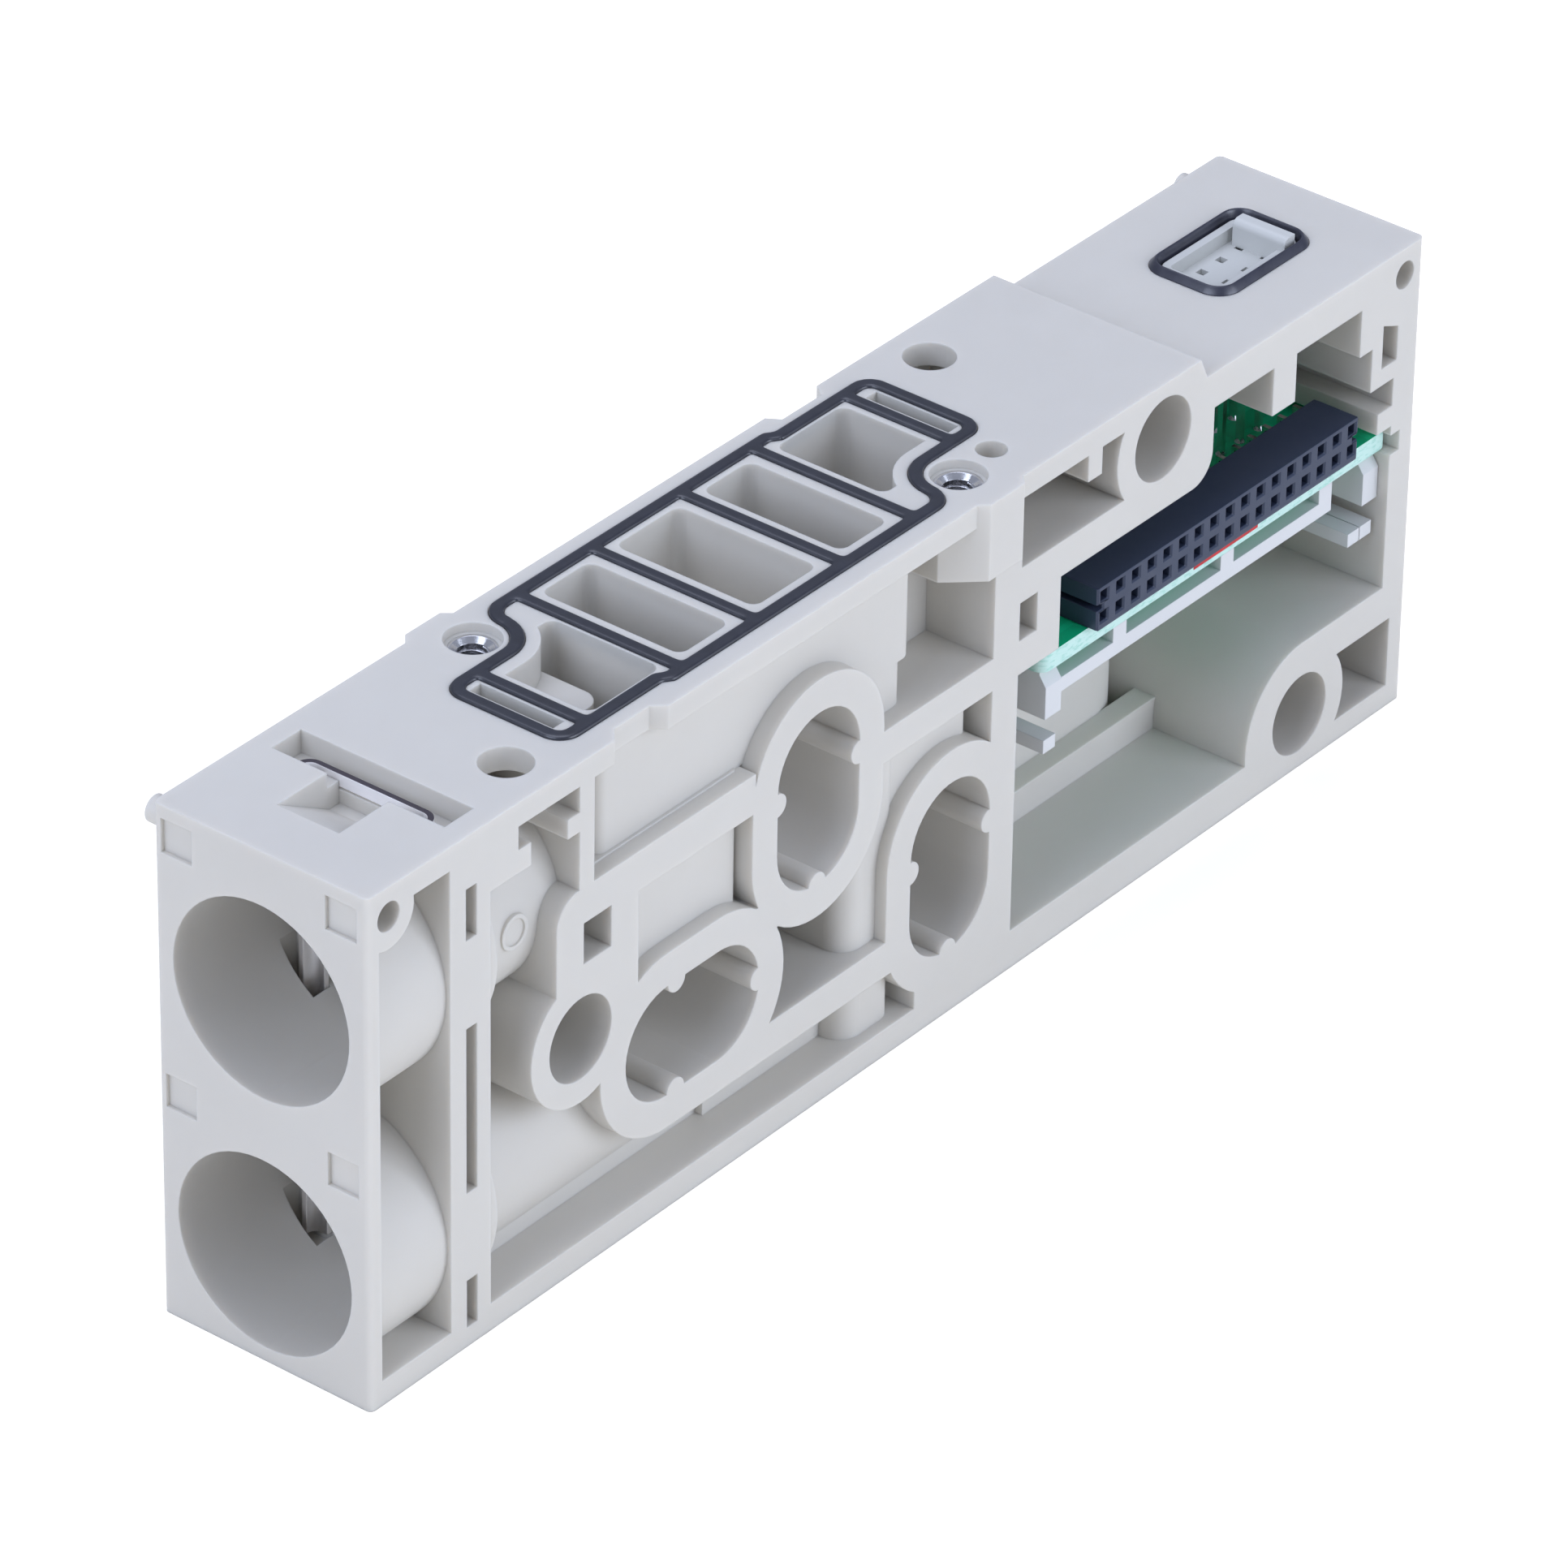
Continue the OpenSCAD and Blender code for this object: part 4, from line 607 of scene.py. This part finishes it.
@dataclass
class Finishes:
    """All finishes of the block."""

    housing: bpy.types.Material = field(init=False)
    rubber: bpy.types.Material = field(init=False)
    ring: bpy.types.Material = field(init=False)
    solder: bpy.types.Material = field(init=False)
    clip: bpy.types.Material = field(init=False)
    insert: bpy.types.Material = field(init=False)
    board: bpy.types.Material = field(init=False)
    connector: bpy.types.Material = field(init=False)
    contact: bpy.types.Material = field(init=False)
    carrier: bpy.types.Material = field(init=False)
    plug: bpy.types.Material = field(init=False)
    paint: bpy.types.Material = field(init=False)

    def __post_init__(self) -> None:
        """Builds every finish once."""
        self.housing = MouldedPlastic(
            Slot.HOUSING.value, colour=(0.625, 0.60, 0.545), shade=(0.605, 0.58, 0.527), glow=0.55).material()
        self.rubber = SealRubber(Slot.RUBBER.value).material()
        self.ring = SealRubber(
            "ring_rubber", colour=(0.012, 0.013, 0.026), bloom=(0.020, 0.022, 0.040)).material()
        # The clip has near-black painted shade on its upward faces, and a painted reflection on its front
        # above 40.5 mm.
        self.clip = BrightSteel(
            Slot.SPRING.value, colour=(0.97, 0.95, 0.94), rough=(0.3, 0.42), painted_shade=(0.06, 0.05, 0.06),
            painted_reflection_metal=0.25, painted_reflection_from=0.0405).material()
        self.insert = BrightSteel(
            Slot.INSERT.value, colour=(0.7, 0.7, 0.72), rough=(0.12, 0.25),
            stretch=(1.0, 1.0, 0.05)).material()
        self.board = ResistBoard(Slot.BOARD.value).material()
        self.connector = MouldedPlastic(
            Slot.CONNECTOR.value, colour=(0.028, 0.040, 0.075), shade=(0.034, 0.047, 0.085),
            rough=(0.38, 0.5), grain=0.08, edge=0.06).material()
        # Painted shade: the contacts turn near black above 32 mm.
        self.contact = BrightSteel(
            Slot.CONTACT.value, colour=(0.78, 0.79, 0.76), rough=(0.15, 0.25), stretch=(1.0, 1.0, 0.1),
            edge=0.0, painted_shade=(0.05, 0.05, 0.06), painted_shade_from=0.032).material()
        self.carrier = MouldedPlastic(
            Slot.CARRIER.value, colour=(0.66, 0.665, 0.66), shade=(0.63, 0.635, 0.63),
            rough=(0.35, 0.5), grain=0.06, edge=0.1).material()
        self.plug = MouldedPlastic(
            Slot.PLUG.value, colour=(0.58, 0.585, 0.56), shade=(0.55, 0.555, 0.53),
            rough=(0.35, 0.48), grain=0.06, edge=0.06).material()
        self.paint = BoardPaint("board_paint").material()
        self.solder = BrightSteel(
            "solder", colour=(0.86, 0.87, 0.88), rough=(0.22, 0.4),
            stretch=(1.0, 1.0, 1.0), edge=0.0).material()

    def dress_nodes(self) -> None:
        """Gives every CAD node its finish."""
        finish = {
            Slot.HOUSING: self.housing, Slot.SPRING: self.clip, Slot.RUBBER: self.rubber,
            Slot.INSERT: self.insert, Slot.BOARD: self.board, Slot.CONNECTOR: self.connector,
            Slot.CONTACT: self.contact, Slot.CARRIER: self.carrier, Slot.PLUG: self.plug,
        }
        by_name = {slot.value: slot for slot in Slot}
        for row in frame["record"]["subparts"]:
            node = frame["nodes"][row["node"]]
            material = finish[by_name[row["material_slot"]]]
            for place in node.material_slots:
                place.material = material
            if not node.material_slots:
                node.data.materials.append(material)
            log.info("%s dressed as %s", row["node"], row["material_slot"])


@dataclass
class RubberSeals:
    """The gaskets and side seals, with the round section of a moulded cord."""

    bench: Workbench
    finishes: Finishes
    grid: float = 0.14
    side_grid: float = 0.2
    relax: int = 26
    relax_strength: float = 0.5
    keep: float = 0.6
    smooth: float = 80.0
    side_nodes: tuple[str, ...] = ("supply_seal", "front_exhaust_seal", "rear_exhaust_seal", "pilot_seals")

    def build(self) -> None:
        """Builds a rounded piece for each seal node."""
        self.bead("valve_gasket", self.grid)
        for node in self.side_nodes:
            self.bead(node, self.side_grid)

    def bead(self, node: str, grid: float) -> None:
        """Replaces one seal node by a cord that flows together at its branches.

        Args:
            node: The seal's CAD node.
            grid: Size in millimetres of the grid that the cord is formed on.
        """
        piece = self.bench.merged_copy(node, node + "_bead")
        piece.data.remesh_voxel_size = grid * MM
        piece.data.remesh_voxel_adaptivity = 0.0
        bpy.ops.object.voxel_remesh()
        relax = piece.modifiers.new("relax", "SMOOTH")
        relax.factor = self.relax_strength
        relax.iterations = self.relax
        thin = piece.modifiers.new("thin", "DECIMATE")
        thin.ratio = self.keep
        self.bench.apply_modifiers(piece)
        self.fill_box(piece, *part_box(node))
        self.bench.hand_over(piece, node + "_bead", self.finishes.rubber, Slot.RUBBER, smooth=self.smooth)
        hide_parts(node)

    def fill_box(self, piece: bpy.types.Object, low: Vector, high: Vector) -> None:
        """Stretches a relaxed cord back to its seal's full box.

        Args:
            piece: The relaxed cord.
            low: The seal's lower corner.
            high: The seal's upper corner.
        """
        points = [vertex.co for vertex in piece.data.vertices]
        first = Vector([min(p[i] for p in points) for i in range(3)])
        last = Vector([max(p[i] for p in points) for i in range(3)])
        piece.scale = [(high[i] - low[i]) / (last[i] - first[i]) for i in range(3)]
        piece.location = [low[i] - first[i] * piece.scale[i] for i in range(3)]
        self.bench.apply_place(piece)


@dataclass
class PlugRing:
    """The ring round the plug opening: a sloping outer face that rises to a thin lip."""

    bench: Workbench
    finishes: Finishes
    node: str = "plug_gasket"
    corner: float = 2.1
    corner_facets: int = 10
    width: float = 0.85
    seat: float = 0.95
    slope: float = 0.45
    lip: float = 0.12
    lip_drop: float = 0.35
    wall_drop: float = 0.5
    edge: float = 0.05
    edge_angle: float = 25.0
    smooth: float = 40.0

    def build(self) -> None:
        """Builds the ring from a rounded plate by insets and bridges its open foot."""
        low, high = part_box(self.node)
        size = high - low
        centre = (low + high) / 2
        self.bench.deselect()
        bpy.ops.mesh.primitive_plane_add(size=1.0, location=(centre.x, centre.y, low.z))
        piece = bpy.context.object
        piece.scale = (size.x, size.y, 1.0)
        self.bench.apply_place(piece)
        top = size.z / MM - self.seat
        inner = self.width - self.slope - 2 * self.lip
        bpy.ops.object.mode_set(mode="EDIT")
        bpy.ops.mesh.select_all(action="SELECT")
        bpy.ops.mesh.bevel(offset=self.corner * MM, segments=self.corner_facets, affect="VERTICES")
        bpy.ops.mesh.extrude_region_move(TRANSFORM_OT_translate={"value": (0.0, 0.0, self.seat * MM)})
        bpy.ops.mesh.inset(thickness=self.slope * MM, depth=top * MM)
        bpy.ops.mesh.inset(thickness=self.lip * MM, depth=0.0)
        bpy.ops.mesh.inset(thickness=self.lip * MM, depth=-top * self.lip_drop * MM)
        bpy.ops.mesh.inset(thickness=inner * MM, depth=-size.z * self.wall_drop)
        bpy.ops.mesh.delete(type="FACE")
        self.open_foot(piece, low.z)
        self.close_foot(piece)
        self.bench.bevel(piece, self.edge, 2, self.edge_angle)
        self.bench.hand_over(piece, "plug_ring", self.finishes.ring, Slot.RUBBER, smooth=self.smooth)
        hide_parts(self.node)

    @staticmethod
    def open_foot(piece: bpy.types.Object, floor: float) -> None:
        """Deletes the plate's first face, which the extrusion leaves at its foot.

        Args:
            piece: The ring in edit mode.
            floor: Height of the foot in metres.
        """
        bpy.ops.mesh.select_mode(type="FACE")
        bpy.ops.mesh.select_all(action="DESELECT")
        bpy.ops.object.mode_set(mode="OBJECT")
        for face in piece.data.polygons:
            face.select = abs(face.normal.z) > LEVEL and abs(face.center.z - floor) < 0.01 * MM
        bpy.ops.object.mode_set(mode="EDIT")
        bpy.ops.mesh.delete(type="FACE")
        bpy.ops.object.mode_set(mode="OBJECT")

    @staticmethod
    def close_foot(piece: bpy.types.Object) -> None:
        """Bridges the ring's two open rims, so that the piece is closed.

        Args:
            piece: The ring with an open foot.
        """
        Workbench.activate(piece)
        bpy.ops.object.mode_set(mode="EDIT")
        bpy.ops.mesh.select_all(action="DESELECT")
        bpy.ops.mesh.select_mode(type="EDGE")
        bpy.ops.mesh.select_non_manifold(extend=False)
        bpy.ops.mesh.bridge_edge_loops()
        bpy.ops.mesh.select_all(action="SELECT")
        bpy.ops.mesh.normals_make_consistent(inside=False)
        bpy.ops.object.mode_set(mode="OBJECT")


@dataclass
class ScrewThreads:
    """The turned threads inside the two inserts."""

    bench: Workbench
    finishes: Finishes
    insert_radius: float = 1.9
    bore: float = 1.25
    pitch: float = 0.5
    crest: float = 0.3
    lead_in: float = 0.5
    bare_turns: int = 2
    steps: int = 32
    smooth: float = 30.0

    def build(self) -> None:
        """Builds one helix in each insert and joins them."""
        low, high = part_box("thread_inserts")
        r = self.insert_radius * MM
        turns = int((high.z - low.z) / MM / self.pitch) - self.bare_turns
        top = high.z - self.lead_in * MM
        places = ((low.x + r, high.y - r), (high.x - r, low.y + r))
        helices = [self.helix(x, y, top - turns * self.pitch * MM, turns) for x, y in places]
        piece = self.bench.join("insert_threads", helices)
        self.bench.hand_over(piece, "insert_threads", self.finishes.insert, Slot.INSERT, smooth=self.smooth)

    def helix(self, x: float, y: float, z: float, turns: int) -> bpy.types.Object:
        """Winds a three-sided ridge along one bore.

        Args:
            x: Axis place in metres.
            y: Axis place in metres.
            z: Lower end in metres.
            turns: Number of turns.

        Returns:
            The ridge.
        """
        self.bench.deselect()
        bpy.ops.mesh.primitive_circle_add(vertices=3, radius=self.crest * MM, fill_type="NOTHING")
        ridge = bpy.context.object
        ridge.rotation_euler = (math.radians(90.0), 0.0, math.radians(-90.0))
        self.bench.apply_place(ridge)
        ridge.rotation_euler = (0.0, math.radians(-90.0), 0.0)
        self.bench.apply_place(ridge)
        ridge.location = ((self.bore + self.crest * 0.5) * MM, 0.0, 0.0)
        self.bench.apply_place(ridge)
        screw = ridge.modifiers.new("wind", "SCREW")
        screw.axis = "Z"
        screw.screw_offset = self.pitch * MM
        screw.iterations = turns
        screw.steps = self.steps
        screw.render_steps = self.steps
        screw.use_normal_calculate = True
        self.bench.apply_modifiers(ridge)
        ridge.location = (x, y, z)
        self.bench.apply_place(ridge)
        return ridge


@dataclass
class SolderJoints:
    """Solder fillets at the feet on the board, and the board's painted edge mark."""

    bench: Workbench
    finishes: Finishes
    plug_pins: tuple[int, int] = (3, 2)
    pin: float = 0.5
    foot: float = 0.42
    rise: float = 0.4
    facets: int = 16
    neck: float = 0.55
    tip_inset: float = 0.12
    tip_rise: float = 0.5
    smooth: float = 60.0
    mark_x: tuple[float, float] = (98.9, 107.2)
    mark_share: float = 0.68
    mark_drop: float = 0.04
    mark_cells: tuple[int, int] = (40, 8)
    mark_thick: float = 0.05
    mark_edge: float = 0.02
    mark_angle: float = 40.0

    def build(self) -> None:
        """Builds the fillets and the edge mark."""
        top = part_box("circuit_board")[1].z
        fillets = [self.fillet(x, y, top) for x, y in self.plug_spots()]
        piece = self.bench.join("solder_fillets", fillets)
        self.bench.hand_over(piece, "solder_fillets", self.finishes.solder, Slot.CONTACT, smooth=self.smooth)
        self.edge_mark()

    def plug_spots(self) -> list[tuple[float, float]]:
        """Finds the plug contacts from their node's box.

        Returns:
            The places of the contacts in metres.
        """
        low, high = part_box("plug_contacts")
        edge = self.pin * MM / 2
        across, deep = self.plug_pins
        step_x = (high.x - low.x - 2 * edge) / (across - 1)
        step_y = (high.y - low.y - 2 * edge) / (deep - 1)
        return [(low.x + edge + i * step_x, low.y + edge + j * step_y)
                for i in range(across) for j in range(deep)]

    def fillet(self, x: float, y: float, z: float) -> bpy.types.Object:
        """Builds one hollow-sided solder cone.

        Args:
            x: Place in metres.
            y: Place in metres.
            z: The board's upper face in metres.

        Returns:
            The cone.
        """
        self.bench.deselect()
        bpy.ops.mesh.primitive_cylinder_add(vertices=self.facets, radius=self.foot * MM, depth=self.rise * MM,
                                            location=(x, y, z + self.rise * MM / 2))
        cone = bpy.context.object
        self.bench.apply_place(cone)
        bpy.ops.object.mode_set(mode="EDIT")
        bpy.ops.mesh.select_all(action="DESELECT")
        bpy.ops.mesh.select_mode(type="FACE")
        bpy.ops.object.mode_set(mode="OBJECT")
        for face in cone.data.polygons:
            face.select = face.normal.z > LEVEL
        bpy.ops.object.mode_set(mode="EDIT")
        bpy.ops.transform.resize(value=(self.neck, self.neck, 1.0))
        bpy.ops.mesh.inset(thickness=self.foot * self.tip_inset * MM, depth=self.rise * self.tip_rise * MM)
        bpy.ops.object.mode_set(mode="OBJECT")
        return cone

    def edge_mark(self) -> None:
        """Lays the red mark on the board's near edge."""
        low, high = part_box("circuit_board")
        start = self.bench.at(self.mark_x[0], 0.0, 0.0).x
        end = self.bench.at(self.mark_x[1], 0.0, 0.0).x
        thick = high.z - low.z
        centre = high.z - thick * (self.mark_share / 2 + self.mark_drop)
        self.bench.deselect()
        bpy.ops.mesh.primitive_grid_add(
            x_subdivisions=self.mark_cells[0], y_subdivisions=self.mark_cells[1], size=1.0,
            location=((start + end) / 2, low.y, centre), rotation=(math.radians(90.0), 0.0, 0.0))
        mark = bpy.context.object
        mark.scale = (end - start, thick * self.mark_share, 1.0)
        self.bench.apply_place(mark)
        skin = mark.modifiers.new("skin", "SOLIDIFY")
        skin.thickness = self.mark_thick * MM
        skin.offset = 1.0
        self.bench.apply_modifiers(mark)
        self.bench.bevel(mark, self.mark_edge, 2, self.mark_angle)
        self.bench.hand_over(mark, "board_edge_mark", self.finishes.paint, Slot.BOARD)


@dataclass(frozen=True)
class SoftLamp:
    """A square soft lamp aimed at the block, sized in metres and watts."""

    name: str
    place: tuple[float, float, float]
    size: float
    power: float
    colour: tuple[float, float, float]
    aim: tuple[float, float, float] = (0.0, 0.0, 0.02)

    def hang(self) -> None:
        """Hangs the lamp and turns it to the block."""
        data = bpy.data.lights.new(self.name, "AREA")
        data.shape = "SQUARE"
        data.size = self.size
        data.energy = self.power
        data.color = self.colour
        lamp = bpy.data.objects.new(self.name, data)
        bpy.context.scene.collection.objects.link(lamp)
        lamp.location = self.place
        way = Vector(self.aim) - Vector(self.place)
        lamp.rotation_euler = way.to_track_quat("-Z", "Y").to_euler()


@dataclass
class Studio:
    """Floor, surround, lamps and camera."""

    camera_place: tuple[float, float, float] = (-0.51806876, -0.40598544, 0.44238608)
    camera_turn: tuple[float, float, float] = (0.99817547, -0.01456865, -0.89484116)
    lens: float = 236.93245
    sensor: float = 36.0
    floor_side: float = 6.0
    floor_colour: tuple[float, float, float, float] = (0.95, 0.90, 0.80, 1.0)
    floor_rough: float = 0.9
    floor_gloss: float = 0.1
    floor_glow: float = 0.35
    white: tuple[float, float, float, float] = (1.0, 1.0, 1.0, 1.0)
    sky: tuple[float, float, float, float] = (0.745, 0.81, 1.0, 1.0)
    sky_strength: float = 0.45
    lamps: tuple[SoftLamp, ...] = (
        SoftLamp("key_front", (-1.2, 0.1, 0.8), 1.0, 11.8, (0.72, 0.80, 1.0)),
        SoftLamp("fill_right", (0.35, -1.4, 0.5), 1.2, 17.0, (0.77, 0.84, 1.0)),
        SoftLamp("top", (0.1, 0.3, 1.5), 1.2, 10.5, (0.77, 0.82, 1.0)),
    )

    def floor(self) -> None:
        """Lays the pale floor."""
        Workbench.deselect()
        bpy.ops.mesh.primitive_plane_add(size=self.floor_side, location=(0.0, 0.0, 0.0))
        plane = bpy.context.object
        plane.name = "studio_floor"
        net = NodeTree("floor_paper")
        net.shader.inputs["Base Color"].default_value = self.floor_colour
        net.shader.inputs["Roughness"].default_value = self.floor_rough
        net.shader.inputs["Specular IOR Level"].default_value = self.floor_gloss
        path = net.tree.nodes.new("ShaderNodeLightPath")
        glow = net.tree.nodes.new("ShaderNodeEmission")
        glow.inputs["Color"].default_value = self.white
        glow.inputs["Strength"].default_value = self.floor_glow
        add = net.tree.nodes.new("ShaderNodeAddShader")
        net.link(net.shader.outputs["BSDF"], add.inputs[0])
        net.link(glow.outputs["Emission"], add.inputs[1])
        mix = net.tree.nodes.new("ShaderNodeMixShader")
        net.link(path.outputs["Is Camera Ray"], mix.inputs["Fac"])
        net.link(net.shader.outputs["BSDF"], mix.inputs[1])
        net.link(add.outputs["Shader"], mix.inputs[2])
        net.link(mix.outputs["Shader"], net.output.inputs["Surface"])
        plane.data.materials.append(net.material)

    def world(self) -> None:
        """Sets an even pale surround that the camera sees as white."""
        world = bpy.data.worlds.new("soft_surround")
        bpy.context.scene.world = world
        world.use_nodes = True
        tree = world.node_tree
        background = tree.nodes["Background"]
        background.inputs["Color"].default_value = self.sky
        background.inputs["Strength"].default_value = self.sky_strength
        white = tree.nodes.new("ShaderNodeBackground")
        white.inputs["Color"].default_value = self.white
        white.inputs["Strength"].default_value = 1.0
        path = tree.nodes.new("ShaderNodeLightPath")
        mix = tree.nodes.new("ShaderNodeMixShader")
        tree.links.new(path.outputs["Is Camera Ray"], mix.inputs["Fac"])
        tree.links.new(background.outputs["Background"], mix.inputs[1])
        tree.links.new(white.outputs["Background"], mix.inputs[2])
        tree.links.new(mix.outputs["Shader"], tree.nodes["World Output"].inputs["Surface"])

    def camera(self) -> None:
        """Sets the photograph's camera."""
        data = bpy.data.cameras.new("photo_camera")
        data.lens = self.lens
        data.sensor_width = self.sensor
        data.sensor_fit = "HORIZONTAL"
        data.clip_start = 0.05
        data.clip_end = 20.0
        camera = bpy.data.objects.new("photo_camera", data)
        bpy.context.scene.collection.objects.link(camera)
        camera.location = self.camera_place
        camera.rotation_euler = Euler(self.camera_turn, "XYZ")
        bpy.context.scene.camera = camera

    def build(self) -> None:
        """Builds the whole studio."""
        self.camera()
        self.floor()
        self.world()
        for lamp in self.lamps:
            lamp.hang()
        bpy.context.scene.view_settings.view_transform = "Standard"
        log.info("studio ready")


def main() -> None:
    """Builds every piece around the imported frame."""
    logging.basicConfig(level=logging.INFO, format="%(name)s %(message)s")
    bench = Workbench()
    Studio().build()
    finishes = Finishes()
    finishes.dress_nodes()
    for node, width, segments in SOFT_NODES:
        bench.soften_node(node, width, segments)
    RubberSeals(bench, finishes).build()
    PlugRing(bench, finishes).build()
    ScrewThreads(bench, finishes).build()
    SolderJoints(bench, finishes).build()


if __name__ == "__main__":
    main()
